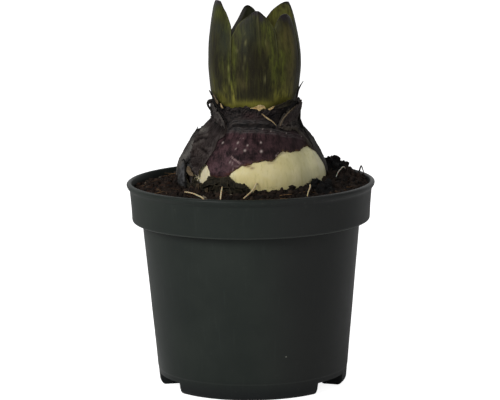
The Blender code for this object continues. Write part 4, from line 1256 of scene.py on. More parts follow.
# Each strip: name, paper, lift of its two margins, seed, then (angle, level, lift, half width) along it.
# Each hair: name, radius, then (angle, level, lift).
scrapSizes = {
    "wall": 0.28,
    "across": 13,
    "steps": 9,
    "hairSteps": 5,
    "hairSides": 7,
    "ragged": (0.45, 9.0, 3.0, 1.1),   # how far the margins are torn, how unlike each other, seed step, size
    "crumple": (0.28, 1.7, 1.5),
    "pieces": [
        ("leftLobe", "slate", -0.9, 1, [(-64, 83.2, 0.3, 0.6), (-65, 82, 0.7, 2.2), (-66, 79.8, 0.9, 3.4),
            (-66, 76.8, 1, 3.8), (-66, 73.8, 0.9, 3.7), (-67, 69.6, 0.5, 3.2)]),
        ("leftLobeCore", "grey", -0.5, 2, [(-65, 81.6, 0.9, 0.7), (-64, 80.2, 1.3, 1.9),
            (-63, 78.2, 1.4, 2.2), (-62.5, 76.6, 1.3, 1.8), (-63, 75, 1.1, 0.9)]),
        # a black strip: painted shade in the gap along the lobe's top and right side
        ("lobeEdge", "black", 0.1, 28, [(-69, 82.2, 1.1, 0.1), (-66, 82.8, 1.4, 0.18),
            (-61.4, 82, 1.5, 0.22), (-58.2, 80.4, 1.6, 0.25), (-56.4, 78, 1.5, 0.3),
            (-55.8, 75.6, 1.3, 0.25), (-56.4, 73.6, 1, 0.1)]),
        # a black strip: painted shade inside the curled hole above the lobe
        ("curledHole", "black", -0.2, 22, [(-63, 81.5, 0.7, 0.12), (-60.8, 82.3, 0.95, 0.3),
            (-58.3, 83.2, 1, 0.36), (-55.8, 83.2, 0.9, 0.26), (-53.6, 82.6, 0.6, 0.1)]),
        ("lobeShade", "dark", 0.3, 24, [(-61.5, 80, 0.1, 0.3), (-60.5, 77.5, 0.2, 0.9),
            (-58.5, 75.6, 0.3, 1.8), (-57, 73.8, 0.5, 2.4), (-56, 71.6, 0.6, 2.4)]),
        ("tanChip", "fawn", 0.2, 3, [(-58.4, 80.9, 0.7, 0.25), (-55.8, 80.3, 0.85, 0.75),
            (-52.2, 79.2, 0.85, 0.75), (-48.8, 78.4, 0.6, 0.2)]),
        ("brownScrapLeft", "brown", 0.4, 4, [(-43.2, 76, 0.5, 0.5), (-43, 74.6, 1, 0.65),
            (-43, 73, 1.4, 0.65), (-43.2, 71.4, 1.6, 0.5)]),
        ("brownScrapRight", "brown", 0.4, 5, [(-34.8, 75, 0.6, 0.3), (-34.6, 73.9, 1.1, 0.5),
            (-34.8, 72.6, 1.5, 0.5), (-35, 71.4, 1.7, 0.3)]),
        ("darkBand", "dark", 0.4, 6, [(-43, 74.4, 0.1, 0.3), (-39, 75.4, 0.4, 0.5), (-36, 76.4, 0.7, 0.8),
            (-32, 77, 0.8, 1.1), (-27, 77.6, 0.6, 1)]),
        ("foldedShredLow", "dark", 0.8, 7, [(-31, 73.4, 0.9, 0.9), (-25, 74.2, 1.5, 1.6),
            (-18, 74.4, 1.7, 1.9), (-11, 73.6, 1.4, 1.5), (-5, 72.6, 0.9, 0.7)]),
        ("foldedShredHigh", "dark", -0.8, 8, [(-30, 78.2, 0.5, 0.6), (-25, 77.4, 1, 1.2),
            (-19, 77.2, 1.2, 1.4), (-13, 76, 1.1, 1.3), (-7, 75.4, 0.8, 1), (-3.5, 74.2, 0.5, 0.5)]),
        ("shredTongue", "dark", 0.7, 9, [(-22, 78.6, 0.3, 0.8), (-20, 76.6, 1.1, 1.3),
            (-18.5, 74.2, 1.9, 1.5), (-17.6, 72.2, 2.2, 1)]),
        ("collarTan", "fawn", 0.2, 10, [(-64, 105.9, -0.9, 0.25), (-59, 105.1, -0.5, 0.55),
            (-54, 104.3, -0.1, 0.6), (-49.5, 103.4, 0.2, 0.35)]),
        ("creamBitLeft", "cream", 0.2, 21, [(-45.6, 103.4, 0.1, 0.12), (-43.6, 102.7, 0.5, 0.28),
            (-41.8, 102, 0.5, 0.15)]),
        ("collarFoldLeft", "black", -0.3, 11, [(-70, 103.2, 0.2, 0.25), (-62, 104.2, 0.3, 0.5),
            (-54, 103.4, 0.8, 0.5), (-49, 101.4, 1.1, 0.35), (-44.8, 99.4, 1.1, 0.28),
            (-40, 97.8, 0.9, 0.22), (-36, 96.6, 0.5, 0.12)]),
        ("flapRoll", "silver", -0.3, 12, [(-64, 103.2, 0.3, 0.6), (-63, 101.6, 0.6, 1.6),
            (-59.5, 99.8, 0.8, 2.1), (-53, 98.2, 0.9, 1.8), (-46, 96.8, 0.8, 1.2), (-40, 95.6, 0.6, 0.5),
            (-36.5, 94.6, 0.3, 0.15)]),
        ("neckLine", "black", -0.1, 26, [(-69, 98, 0.5, 0.12), (-62, 97, 0.9, 0.22), (-54, 96, 1, 0.25),
            (-47, 95.6, 0.8, 0.1)]),
        ("jagTooth", "black", -0.2, 27, [(-90, 89.4, 0.1, 0.5), (-90, 90.8, 0.35, 0.6),
            (-90, 91.9, 0.7, 0.5), (-90, 92.9, 1.25, 0.14)]),
        # a black strip: painted shadow along the edge where the upper layer overlaps at the jag
        ("jagEdge", "black", -0.2, 23, [(-79, 92.2, 0, 0.25), (-76, 93, 0.1, 0.4), (-73, 94.4, 0.15, 0.4),
            (-70.4, 96, 0.1, 0.35), (-67.4, 97.6, 0.1, 0.18)]),
        ("rightFlapSheet", "brownGrey", 0.2, 14, [(33.2, 95, 0.3, 0.4), (39, 96.8, 0.8, 1.6),
            (48, 98.4, 1, 2.4), (58, 100, 1, 2.5), (67, 101.8, 0.8, 1.8), (74, 103.2, 0.4, 0.6)]),
        ("rightFoldEdge", "fawn", 0.1, 16, [(31.6, 95.2, 0.9, 0.12), (33.4, 97, 1.2, 0.15),
            (38.6, 99.3, 1.3, 0.15), (47, 101.2, 1.2, 0.13), (58, 102.4, 0.8, 0.1)]),
        ("rightNeckEdge", "black", -0.2, 25, [(67, 86.4, 0.2, 0.1), (69, 88.8, 0.3, 0.25),
            (70.5, 91.2, 0.5, 0.4), (71.5, 93.8, 0.7, 0.6), (70, 96.4, 0.9, 0.8), (69.5, 99, 1, 0.85),
            (67, 101, 0.9, 0.65), (64, 102.6, 0.6, 0.3)]),
        ("rightUpperFold", "black", 0.4, 17, [(36, 101.6, 0.5, 0.4), (44, 102.8, 0.9, 0.8),
            (52, 103, 0.7, 1), (60, 102.6, 0.1, 0.9), (68, 101.8, -0.5, 0.6), (73, 101, -0.8, 0.3)]),
        ("rightCollarShred", "dark", 0.5, 18, [(24, 102.2, 0.4, 0.4), (32, 103, 0.7, 0.7),
            (41, 103.8, 0.8, 0.9), (50, 104.6, 0.6, 0.5)]),
        ("creamTip", "cream", 0.3, 19, [(-7, 102.3, 0.1, 0.12), (-2.6, 102.3, 0.3, 0.16),
            (1, 102.5, 0.4, 0.5), (5.6, 102.5, 0.5, 1), (9.8, 102.7, 0.3, 0.6), (12.4, 102, 0.1, 0.2)]),
        ("creamTipRight", "cream", 0.3, 20, [(15.8, 101.6, 0.1, 0.12), (18.4, 101.9, 0.4, 0.36),
            (21.6, 102.4, 0.4, 0.26), (23.6, 102.6, 0.2, 0.1)]),
    ],
    "hairs": [
        ("leftSpike", 0.42, [(-55, 103.6, 0), (-60, 104.7, -0.6), (-67, 105.6, -0.9), (-74, 106.4, -1),
            (-85, 106.9, -1)]),
        ("leftLoop", 0.48, [(-58, 104, -0.3), (-65, 104.1, 0), (-71, 103.6, 0.35), (-76.5, 102.6, 0.5),
            (-76, 101.4, 0.5), (-71, 100.4, 0.4), (-65, 99.6, 0.3), (-59, 99, 0.1)]),
        ("leftBarb", 0.36, [(-66, 103.4, 0.1), (-74, 102.7, 0.5), (-79, 102.6, 0.75)]),
        ("rightTwig", 0.42, [(58, 102.6, 0), (63, 103.8, -0.6), (68.5, 105.2, -1.1), (74, 106.8, -1.3),
            (81, 108.3, -1), (89, 109.7, -0.1)]),
        ("rightBarb", 0.34, [(62, 102.6, -0.6), (68, 102.5, -1.1), (74, 101.8, -1.3), (79, 100.8, -1.3),
            (82, 99.6, -1.2)]),
        ("rimTwig", 0.32, [(110.5, 70.4, 12.9), (108.5, 73, 13.2), (106.6, 74.6, 13.4), (104.6, 75.9, 13.6),
            (103, 74.8, 13.9), (101.4, 73.4, 14.1)]),
    ],
}

# Each paper: dark and light tone, tone of its fibres and rim, roughness, and the slot of its strips.
papers = {
    "slate": ((30, 30, 30), (60, 60, 59), (90, 89, 88), 0.6, "tunic_dry"),
    "fawn": ((66, 54, 40), (112, 96, 74), (136, 120, 96), 0.6, "inner_scale"),
    "grey": ((40, 39, 40), (76, 76, 77), (112, 111, 110), 0.6, "tunic_dry"),
    "silver": ((40, 37, 36), (66, 61, 58), (100, 94, 88), 0.6, "tunic_dry"),
    "dark": ((18, 18, 15), (44, 40, 31), (80, 72, 56), 0.75, "tunic_shreds"),
    "brown": ((34, 27, 20), (66, 54, 38), (92, 78, 56), 0.6, "tunic_shreds"),
    "black": ((8, 8, 8), (20, 18, 17), (38, 35, 32), 0.7, "tunic_shreds"),
    "brownGrey": ((29, 24, 24), (50, 42, 41), (90, 81, 75), 0.6, "tunic_dry"),
    "cream": ((150, 119, 71), (192, 170, 121), (204, 187, 144), 0.6, "inner_scale"),
}


def paperFinish(name, low, high, streakTone, rough):
    finish, shader = newFinish(name, rough, 0.1)
    place = skinPlace()
    cloud = noiseOf(place, 1.7, 4.0, 0.65)
    fibre = noiseOf(stretched(place, 0.4, 2.6), 1.0, 4.0, 0.65)
    streak = tone(*streakTone)
    paint(shader, coats(tone(*low), (reach(cloud, 0.36, 0.64), tone(*high)),
                        (reach(fibre, 0.5, 0.76, 0.0, 0.6), streak), (mark("rim", 0.45), streak)))
    bump(shader, plus(fibre, cloud), 0.16, 0.6)
    return finish


def makeStrip(name, finish, line, curl, seed):  # it follows line, and its margins stand curl above its middle
    path = smoothPath(line, scrapSizes["steps"])
    arc, level, lift, half = arcOf(path[:, 0]), path[:, 1], path[:, 2], path[:, 3]
    run, rise = np.gradient(arc), np.gradient(level)
    length = np.hypot(run, rise)
    across = np.linspace(-1.0, 1.0, scrapSizes["across"])[:, None]
    torn, unlike, seedStep, tearSize = scrapSizes["ragged"]
    tears = fractal(arc[None] + unlike * across.round(), level[None], seedStep * seed, tearSize, 3)
    off = across * half * np.where(np.abs(across) > 0.6, 1.0 + torn * tears, 1.0)
    arcs, levels = arc - off * rise / length, level + off * run / length
    width = np.minimum(1.0, half)
    crumple, seedStep, crumpleSize = scrapSizes["crumple"]
    wrinkles = fractal(arcs, levels, seed * seedStep, crumpleSize, 3)
    depth = -(lift + curl * width * across**2 + crumple * width * wrinkles)
    rim = smooth(0.75, 1.0, np.abs(across)) * np.ones_like(arcs)
    angles = arcs / bulbSizes["arcPerDegree"]
    angles, levels, depth, rim = (grid[::-1] for grid in (angles, levels, depth, rim))   # faces outward
    return skinPiece(name, angles, levels, depth, scrapSizes["wall"], {"rim": rim}, finish)


# The left and right edges run from the foot up. Each cut or swell is (strength, half width, line).
flapSizes = {
    "left": [(-47, 78.3), (-49.4, 79.8), (-52.6, 81.5), (-56.6, 83.8), (-59.2, 85.4), (-61.8, 87),
        (-66, 89.8), (-69.6, 92.6), (-71, 95.2), (-68, 98.4)],
    "right": [(-46.8, 78.4), (-46, 80.2), (-42.9, 82.6), (-40.2, 84.6), (-38.2, 86.6), (-36.2, 88.6),
        (-37, 91), (-32, 92.7), (-34.6, 94.8), (-41.5, 97.4)],
    "rough": [(-54, 86.5, 5, 3.4, 1), (-50, 82.6, 3.4, 2.6, 1), (-60, 90, 3.4, 2.6, 0.9)],
    # painted shade, mostly along the flap's top under the roll
    "dark": [(-66, 96.4, 2.6, 1, 0.8), (-52, 95.4, 5, 2, 0.9), (-42, 94.8, 3.4, 2.4, 0.95),
        (-40, 91, 2, 2.6, 0.4), (-50, 83, 2.2, 1.4, 0.6), (-46, 97, 3, 1.6, 0.6)],
    "pale": [(-66, 93, 2.4, 1.2, 0.6)],
    "cuts": [
        (1, 0.52, [(-64.5, 88.4), (-61.6, 89.3), (-58.7, 90.1), (-56.2, 90.8), (-52.3, 91.1), (-48.9, 91)]),
        (0.9, 0.42, [(-64.5, 90.9), (-61.3, 91.5), (-58.6, 92), (-56.6, 93.2)]),
        (0.85, 0.42, [(-51, 87.8), (-46.8, 87.4), (-42.9, 86.7), (-40.9, 86.4)]),
        (0.4, 0.4, [(-43.7, 88.7), (-39.9, 88.9)]),
        (0.5, 0.4, [(-41.2, 86.9), (-37.4, 87.8)]),
        (0.5, 0.5, [(-58, 86.2), (-55.4, 85), (-51.4, 84.2)]),
    ],
    "swells": [
        (1.2, 0.42, [(-64.3, 89.9), (-59.3, 91), (-56.1, 91.6), (-51.7, 91.8)]),
        (1.2, 0.42, [(-63.2, 87.7), (-58, 88.5), (-55, 89.3), (-52, 90.2)]),
        (0.5, 0.45, [(-52, 86.8), (-47, 86.4)]),
        (0.5, 0.5, [(-44, 88), (-40, 88.3)]),
        (0.9, 0.7, [(-70, 92.4), (-65.5, 93.2), (-61.1, 94.1)]),
    ],
    "columns": 64,
    "steps": 9,
    "wall": 0.28,
    "height": 0.45,
    "edgeHeight": 0.15,
    "light": (70, 62, 61),
    "shade": (38, 32, 31),
}


def makeFlap():
    left, right = (smoothPath(flapSizes[key], flapSizes["steps"]) for key in ("left", "right"))
    share = np.linspace(0.0, 1.0, flapSizes["columns"])[:, None]
    angle, level = (left[None, :, i] + (right - left)[None, :, i] * share for i in (0, 1))
    arc = arcOf(angle)
    ragged = 0.5 * fractal(arc, level, 44.0, 1.4, 3) * fade(0.0, 0.16, np.minimum(share, 1.0 - share))
    arc, level = arc + ragged, level + 0.6 * ragged
    angle = arc / bulbSizes["arcPerDegree"]
    toLeft, toRight = (edgeDistance(angle, level, flapSizes[key]) for key in ("left", "right"))
    spots = blotsOf(flapSizes, angle, level, "rough", "dark", "pale")
    rough = spots["rough"]
    bend = 0.7 * fractal(arc, level, 51.0, 4.0, 2)
    crumple = np.maximum(creases(arc, level + bend, 64.0, 1.6, 4.6, 6.4),
                         0.8 * creases(arc, level - bend, 36.0, 1.6, 4.2, 2.9))
    long = 0.7 * creases(arc, level, -40.0, 2.2, 8.0, 9.7)
    lift = flapSizes["height"] + 2.8 * (crumple - 0.45) * (0.1 + 0.9 * rough) + long * (1.0 - rough)
    lift += 0.2 * fractal(arc, level, 1.0, 5.0, 2)
    lift += 0.3 * hump(toLeft, 0.4, 0.35) - 0.2 * smooth(0.8, 2.5, toLeft) * (1.0 - rough)
    cut, swell = (np.max([strength * hump(edgeDistance(angle, level, line), 0.0, wide)
                          for strength, wide, line in flapSizes[key]], 0) for key in ("cuts", "swells"))
    lift += 0.3 * swell - 0.45 * cut - 0.35 * smooth(92.0, 94.0, level) * smooth(3.0, 1.0, toLeft)
    low = flapSizes["edgeHeight"]
    lift = low + (lift - low) * smooth(0.0, 1.4, toRight) - 0.55 * fade(0.0, 1.1, toRight)
    # painted shade in the crumple valleys and along the cut furrows
    valleys = 0.7 * smooth(0.45, 0.1, crumple) * smooth(0.15, 0.6, rough) * (1.0 - swell)
    shadow = 0.7 * fade(0.1, 0.5, toLeft) * smooth(93.0, 90.0, level)
    marks = {
        # painted highlight on crumple ridges and swells
        "highlightAndStrands": np.maximum(smooth(0.5, 0.95, crumple) * rough, 0.9 * swell) * (1.0 - cut),
        "brown": np.maximum(rough, 0.3),
        "rim": 0.3 * fade(0.0, 0.5, toRight),
        "pale": spots["pale"],
        "paintedShade": np.max([valleys, 0.95 * cut, shadow, spots["dark"]], 0),
    }
    finish = dryFinish("flapSkin", flapSizes["light"], flapSizes["shade"])
    settle(skinPiece("frontFlap", angle, level, -lift, flapSizes["wall"], marks, finish), "tunic_dry")


shredSizes = {
    "span": (-51.3, 5.01, 0.55),   # from, to, each column
    "upper": [(-51.3, 77), (-47.6, 77.2), (-46.4, 76.6), (-40.5, 75.7), (-38.3, 76.3), (-36.9, 77.8),
        (-35.2, 78.6), (-33.4, 79.2), (-30.2, 78.8), (-25, 78.4), (-22, 79.3), (-18, 79.2), (-14, 77.8),
        (-10, 76.3), (-6, 77.2), (-3.7, 75.9), (1, 72.9), (5, 71.5)],
    "torn": (41.0, 0.7, 0.6),
    "rows": 34,
    "depth": 0.1,
    "wall": 0.3,
}


def makeShreds(finish):
    column = np.arange(*shredSizes["span"])
    edge = readLine(shredSizes["upper"], column) + tornEdge(column, *shredSizes["torn"])
    level = skinGrid(0.0 * column + bulbSizes["skinBottom"], edge, shredSizes["rows"])
    arc = arcOf(column)[:, None] + 0.0 * level
    lift = creases(arc, level, 62.0, 1.3, 3.0, 3.3) + 0.8 * creases(arc, level, 10.0, 1.0, 2.4, 5.2) - 0.5
    lift += 0.3 * fractal(arc, level, 8.0, 1.0, 2)
    near = fade(0.0, 1.2, edge[:, None] - level)
    depth = bulbSizes["dryDepth"] + shredSizes["depth"] - lift + 0.5 * near
    marks = {"rim": 0.6 * near}
    shreds = skinPiece("darkShreds", column[:, None], level, depth, shredSizes["wall"], marks, finish)
    settle(shreds, "tunic_shreds", "tunic_shreds")


def makeScraps():
    finishes = {name: paperFinish(name + "Paper", *tones) for name, (*tones, _) in papers.items()}
    makeShreds(finishes["dark"])
    for name, paper, curl, seed, line in scrapSizes["pieces"]:
        strip = makeStrip(name, finishes[paper], line, curl, seed)
        settle(strip, papers[paper][-1], *(["inner_scale"] if name == "creamTip" else []))
    twig, shader = newFinish("darkTwig", 0.75, 0.25)
    paint(shader, blend(noiseOf(objectPlace(), 0.8), tone(14, 12, 11), tone(44, 38, 32)))
    for name, radius, line in scrapSizes["hairs"]:
        path = routeOnBulb(line, scrapSizes["hairSteps"])
        radii = radius * (1.0 - 0.75 * np.linspace(0.0, 1.0, len(path)) ** 3)
        settle(joinGrids(name, [tubeGrid(path, radii, scrapSizes["hairSides"])], twig), "tunic_shreds")


strawSizes = {
    "route": [(7.2, 100.5, 1.35), (9.5, 99.9, 1.3), (12.0, 99.2, 1.3), (15.6, 98.2, 1.45), (20.5, 96.8, 1.5),
              (25.4, 95.3, 1.1)],   # (angle, level, lift)
    "radii": [(0.0, 0.12), (0.12, 0.2), (0.4, 0.26), (0.7, 0.2), (1.0, 0.05)],
    "steps": 6,
    "sides": 8,
}


def makeStraw():
    finish, shader = newFinish("strawFibre", 0.55, 0.35)
    streak = reach(noiseOf(objectPlace(), 0.6, 3.0), 0.35, 0.65)
    paint(shader, blend(streak, tone(150, 124, 88), tone(196, 174, 130)))
    path = routeOnBulb(strawSizes["route"], strawSizes["steps"])
    radii = readLine(strawSizes["radii"], np.linspace(0.0, 1.0, len(path)))
    straw = joinGrids("paleStraw", [tubeGrid(path, radii, strawSizes["sides"])], finish)
    settle(straw, "straw_strand", "straw_strand")


makeFlap()
makeScraps()
makeStraw()
print("shreds, scraps and straw made")


# Leaves

leafSizes = {
    "foot": 96.8,
    "cup": [(96, 14.35), (98, 14.3), (100, 14.5), (102, 14.8), (104, 15.35), (106.6, 15.8), (111, 16.3),
        (115.5, 16.65), (119.6, 16.6), (124, 16.25), (128, 15.7), (132.4, 14.95), (136.7, 14.05),
        (140, 13.3)],
    "girth": 16.0,   # radius that arcs along a leaf are measured at
    "tuck": 0.65,
    "edge": 0.55,
    "middle": 1.4,
    "leastWall": 0.06,
    "firstRow": 0.03,   # below the tip
    "rowPower": 1.6,   # how much closer the rows are at the tip
    "veins": (0.03, 0.95),   # height and spacing
    "wave": (0.13, 6.0),
    "rim": (0.55, 1.9),   # width, and how much wider a grey rim is
    "columns": 57,
    "rows": 110,
}

# For each leaf: its tip, the two sides of its outline from the tip down as (level, angle), the angles
# between which each side tucks under its neighbour, and the marks of each tint as (angle, level,
# half width, half length, strength).
leaves = {
    "leaf_front": {
        "tip": (7, 136.3),
        "low": [(136, 2), (135.35, -2.4), (134.7, -6.2), (134, -10.2), (133.1, -15.5), (131.4, -22),
            (129.2, -26.3), (127.6, -29.6), (125.8, -33), (122, -35.6), (116, -37.4), (96.8, -40)],
        "high": [(136, 10.6), (135.1, 14.7), (134.1, 18.7), (132.4, 23.8), (130.7, 27.5), (128.8, 29.6),
            (126, 30.4), (120.7, 31), (113.6, 33), (106.3, 36), (96.8, 38)],
        "tucks": ((-27, -35), None),
        "hood": 0.35,
        # inner: how lit the inner face is painted, from 0 in painted shade to 1 lit yellow-green
        "inner": 0.5,
        "rib": 1,
        "greyRim": 0,
        "violet": [(12.2, 133.8, 1.6, 1.5, 1), (3, 135.4, 2.4, 0.7, 0.6)],
        "tan": [(-13, 110.4, 2, 1.6, 0.6), (-20, 112, 1.6, 3, 0.3), (16, 124, 1.4, 3, 0.4)],
        "yellow": [(14, 131, 1.6, 2.6, 0.7), (21, 128, 2.2, 4.5, 0.9), (22, 122, 2, 6, 0.8),
            (26, 115, 2.2, 6.5, 0.8), (-26, 121, 1.4, 6, 0.85), (-27, 112, 1.4, 5, 0.6),
            (0, 103.2, 12, 1.5, 1), (-24, 103.4, 3, 1.4, 0.6), (30, 106, 3, 3.4, 0.7),
            (-17, 129, 2.4, 2, 0.6), (6, 124, 0.5, 3.5, 0.6), (-10.5, 113, 0.6, 4, 0.5),
            (13, 125.5, 1.4, 2.2, 0.6)],
        "purple": [(12.5, 133.4, 1.9, 2.2, 1), (-2, 118, 6, 8.5, 0.9), (12, 121, 1.8, 4.6, 0.9),
            (-5, 109, 6.5, 5, 0.9), (14, 110, 3.2, 5.5, 0.8), (-15, 115, 2, 6, 0.6)],
        "bloom": [(-6, 129.5, 5, 4.5, 0.9), (-2, 132.5, 3, 2, 0.9), (-12, 124, 2.6, 4, 0.5)],
        "pale": [(-11.5, 128.8, 0.35, 1, 0.5), (-10.5, 125.4, 0.36, 1.1, 1), (-22, 122.6, 0.4, 0.7, 1),
            (-12, 119.7, 0.3, 1.2, 0.5), (12.4, 112.2, 0.4, 1.4, 1), (-15, 116.4, 0.34, 1.2, 0.45),
            (-1.5, 111.8, 0.34, 1.4, 0.4), (15, 125.3, 0.34, 1, 0.5)],
    },
    "leaf_left": {
        "tip": (-72, 139.5),
        "low": [(139.35, -82), (138.9, -89), (137.7, -97), (135, -106), (131, -113), (124, -118),
            (112, -122), (96.8, -126)],
        "high": [(139.4, -62.5), (138.6, -56), (137.1, -48.8), (135.5, -41.8), (133.1, -35.6), (131, -31.9),
            (129.3, -30.9), (126.9, -30.5), (122.7, -30.4), (117.7, -29.8), (112, -28.4), (106.7, -25.7),
            (103.2, -22), (96.8, -18)],
        "tucks": (None, None),
        "hood": 0,
        "inner": 0.4,
        "rib": 0,
        "greyRim": 0,
        "violet": [(-66, 138.9, 3.4, 0.7, 0.7), (-84, 135, 1.6, 3, 0.4)],
        "tan": [(-72, 112, 4, 6, 0.3)],
        "yellow": [(-60, 135.4, 6, 2.6, 0.75), (-36, 131, 2.2, 3.4, 1), (-31, 109.4, 0.7, 3, 1),
            (-33.5, 116.2, 0.8, 2, 1), (-33.5, 112.4, 0.8, 2.4, 1), (-28.5, 105.5, 1.4, 4.5, 1),
            (-34, 119.5, 0.8, 4, 0.7), (-48, 105, 6, 2.4, 0.5), (-66, 110, 2.4, 4, 0.5),
            (-36, 102, 6, 1.8, 0.7), (-44, 117, 1.2, 3, 0.5), (-42, 108.5, 1.6, 3, 0.6)],
        "purple": [(-70, 137.8, 6, 1.2, 0.9), (-62, 119, 3, 7, 0.6), (-48, 111, 2.8, 3.6, 0.7)],
        "bloom": [(-42, 126, 4.6, 6.5, 1), (-52, 130, 6, 2.6, 0.9), (-80, 124, 3, 12, 0.8),
            (-80, 110, 3, 10, 0.8)],
        "pale": [(-34, 116, 0.4, 1.1, 0.8), (-33.6, 112.2, 0.4, 1, 0.8)],
    },
    "leaf_right_front": {
        "tip": (57.5, 134.6),
        "low": [(134.5, 52), (134.2, 47), (133.6, 43), (132.2, 36.4), (130.3, 31.5), (127.7, 28.5),
            (120, 27), (96.8, 26)],
        "high": [(134.4, 61), (133.8, 65), (132.8, 70), (131, 75), (127, 79), (118, 80), (96.8, 76)],
        "tucks": ((36, 25.5), (69, 76)),
        "hood": 0.35,
        "inner": 0.5,
        "rib": 0,
        "greyRim": 0,
        "violet": [(50, 133.4, 3.6, 1.4, 0.8), (58, 132, 1.6, 2, 0.5)],
        "tan": [(45, 126, 3.8, 5.4, 1), (55, 124, 3, 7, 1), (50, 115, 4, 7, 0.8), (55, 109, 2.2, 3.4, 0.8),
            (44, 109, 3, 3, 0.4)],
        "yellow": [(41, 125, 3, 5, 0.75), (36, 119, 2.6, 6, 1), (42, 106.5, 4.4, 3.6, 1),
            (38, 112, 2.6, 5, 0.9), (52, 106, 2, 4, 0.7), (44, 102.5, 5, 1.6, 0.9), (49, 121, 2.6, 5, 0.7),
            (50, 104.5, 3, 2, 1)],
        "purple": [(51, 132.8, 3.4, 1.8, 0.8), (62, 129, 1.6, 5, 0.6), (66, 116, 3, 10, 0.9)],
        "bloom": [(39, 130.6, 2.6, 2, 0.9)],
        "pale": [(43, 117, 0.4, 1.4, 0.4)],
    },
    "leaf_right_back": {
        "tip": (104, 138),
        "low": [(137.7, 96), (137, 92), (135.6, 89), (134, 85), (133, 80), (132, 75), (129.3, 71.8),
            (124.9, 73.8), (120.6, 73.3), (116, 71.6), (110.7, 70.4), (105.4, 67), (96.8, 64)],
        "high": [(137.5, 120), (136.6, 131.8), (135.2, 143.5), (133.8, 151.5), (132.3, 157.2),
            (131.5, 159.9), (130, 163), (124, 167), (110, 168), (96.8, 166)],
        "tucks": (None, None),
        "hood": 0.35,
        "inner": 1,
        "rib": 0,
        "greyRim": 0,
        "violet": [],
        "tan": [(150, 128.6, 3, 2.4, 0.6)],
        "yellow": [(88, 103, 3, 2, 0.6), (120, 103, 6, 2, 0.7), (104, 118, 1.2, 8, 0.5)],
        "purple": [(110, 112, 3.4, 8, 0.6), (130, 120, 3, 7, 0.5), (158, 130.5, 2, 1.8, 0.8),
            (152, 129.4, 2.2, 1.6, 0.8), (122, 135.8, 2.4, 0.7, 0.8), (136, 134.2, 1.8, 0.5, 0.7),
            (112, 134.6, 0.8, 1, 0.7)],
        "bloom": [(82, 120, 5, 16, 1), (84, 106, 5, 9, 1), (124, 128, 4, 6, 0.6)],
        "pale": [],
    },
    "leaf_back": {
        "tip": (187.5, 136),
        "low": [(135.7, 183.7), (134.9, 179.2), (133.8, 175.7), (132.6, 172.3), (130, 167), (124, 160),
            (110, 157), (96.8, 155)],
        "high": [(135.7, 191.4), (134.8, 194.5), (133.3, 197.5), (131.3, 201.3), (129.7, 204.9),
            (127.7, 209.4), (126.7, 212.5), (122, 222), (112, 234), (96.8, 241)],
        "tucks": ((170, 162), (224, 232)),
        "hood": 0.35,
        "inner": 0,
        "rib": 0.8,
        "greyRim": 0.8,
        "violet": [],
        "tan": [],
        "yellow": [(190, 103, 9, 2, 0.8), (176, 118, 1.2, 8, 0.6), (206, 112, 1.4, 6, 0.5)],
        "purple": [(190, 114, 5, 8, 0.6), (202, 124, 3, 5, 0.5)],
        "bloom": [(184, 127, 5, 6, 0.7)],
        "pale": [],
    },
}


def leafFinish():
    finish, shader = newFinish("hyacinthLeaf", 0.4, 0.1)
    place = skinPlace()
    level = partOf(place, "Y")
    streak = noiseOf(stretched(place, 0.55, 8.0), 1.0, 3.0, 0.55)
    wide = noiseOf(stretched(place, 1.7, 4.5), 1.0, 4.0, 0.62)
    fleck = noiseOf(stretched(place, 0.4, 1.4), 1.0, 2.0, 0.5)
    mottle = noiseOf(stretched(place, 0.8, 2.6), 1.0, 3.0, 0.55)
    patchy, foot = reach(plus(streak, mottle), 0.85, 1.15, 0.3, 1.0), reach(level, 107.0, 103.5, 0.0, 0.85)
    lime = addNode("ShaderNodeMath", {0: patchy, 1: foot}, operation="MAXIMUM")
    bright = blend(reach(level, 114.0, 104.0), tone(81, 87, 31), tone(128, 124, 54))
    outside = coats(
        tone(33, 30, 18),
        (reach(wide, 0.42, 0.58), tone(51, 49, 26)),
        (reach(streak, 0.5, 0.64, 0.0, 0.5), tone(68, 68, 30)),
        (times(mark("purple"), reach(wide, 0.32, 0.6, 0.55, 1.0)), tone(29, 26, 18)),
        (times(mark("yellow"), lime), bright),
        (times(mark("bloom"), reach(mottle, 0.3, 0.7, 0.55, 0.85)), tone(46, 50, 41)),
        (times(mark("tan"), reach(wide, 0.3, 0.6, 0.35, 0.9)), tone(92, 84, 48)),
        (reach(fleck, 0.64, 0.76, 0.0, 0.35), tone(80, 76, 38)),
        (mark("pale"), tone(120, 118, 76)),
        (mark("margin", 0.5), tone(96, 98, 62)),
        (mark("violet", 0.8), tone(45, 40, 49)),
        (mark("tip", 0.85), tone(38, 33, 36)))
    inside = coats(
        # the inner face is painted from a shaded dark tone to a lit yellow-green, by each leaf's inner value
        blend(mark("innerLitShare"), tone(44, 45, 34), tone(96, 96, 46)),
        (reach(streak, 0.5, 0.64, 0.0, 0.45), tone(58, 58, 32)),
        (reach(wide, 0.48, 0.62, 0.0, 0.55), tone(62, 57, 33)),
        (mark("purple", 0.9), tone(44, 38, 24)),
        (mark("rim"), blend(mark("rimTone"), tone(44, 40, 34), tone(92, 90, 85))),
        (mark("tip"), tone(36, 33, 26)))
    paint(shader, blend(partOf(place, "Z"), outside, inside), reach(wide, 0.3, 0.7, 0.38, 0.52))
    bump(shader, plus(streak, times(fleck, 0.4)), 0.1, 0.45)
    return finish


def leafSide(leaf, side, below):  # the outline is read against the root of the depth, so that tips are round
    tipAngle, tipHeight = leaf["tip"]
    points = [(0.0, tipAngle)] + [(math.sqrt(tipHeight - level), angle) for level, angle in leaf[side]]
    return readCurve(points, np.sqrt(below))


def tuckUnder(angles, angle):
    if angles is None:
        return 0.0 * angle
    return leafSizes["tuck"] * smooth(0.0, 1.0, (angle - angles[0]) / (angles[1] - angles[0]))


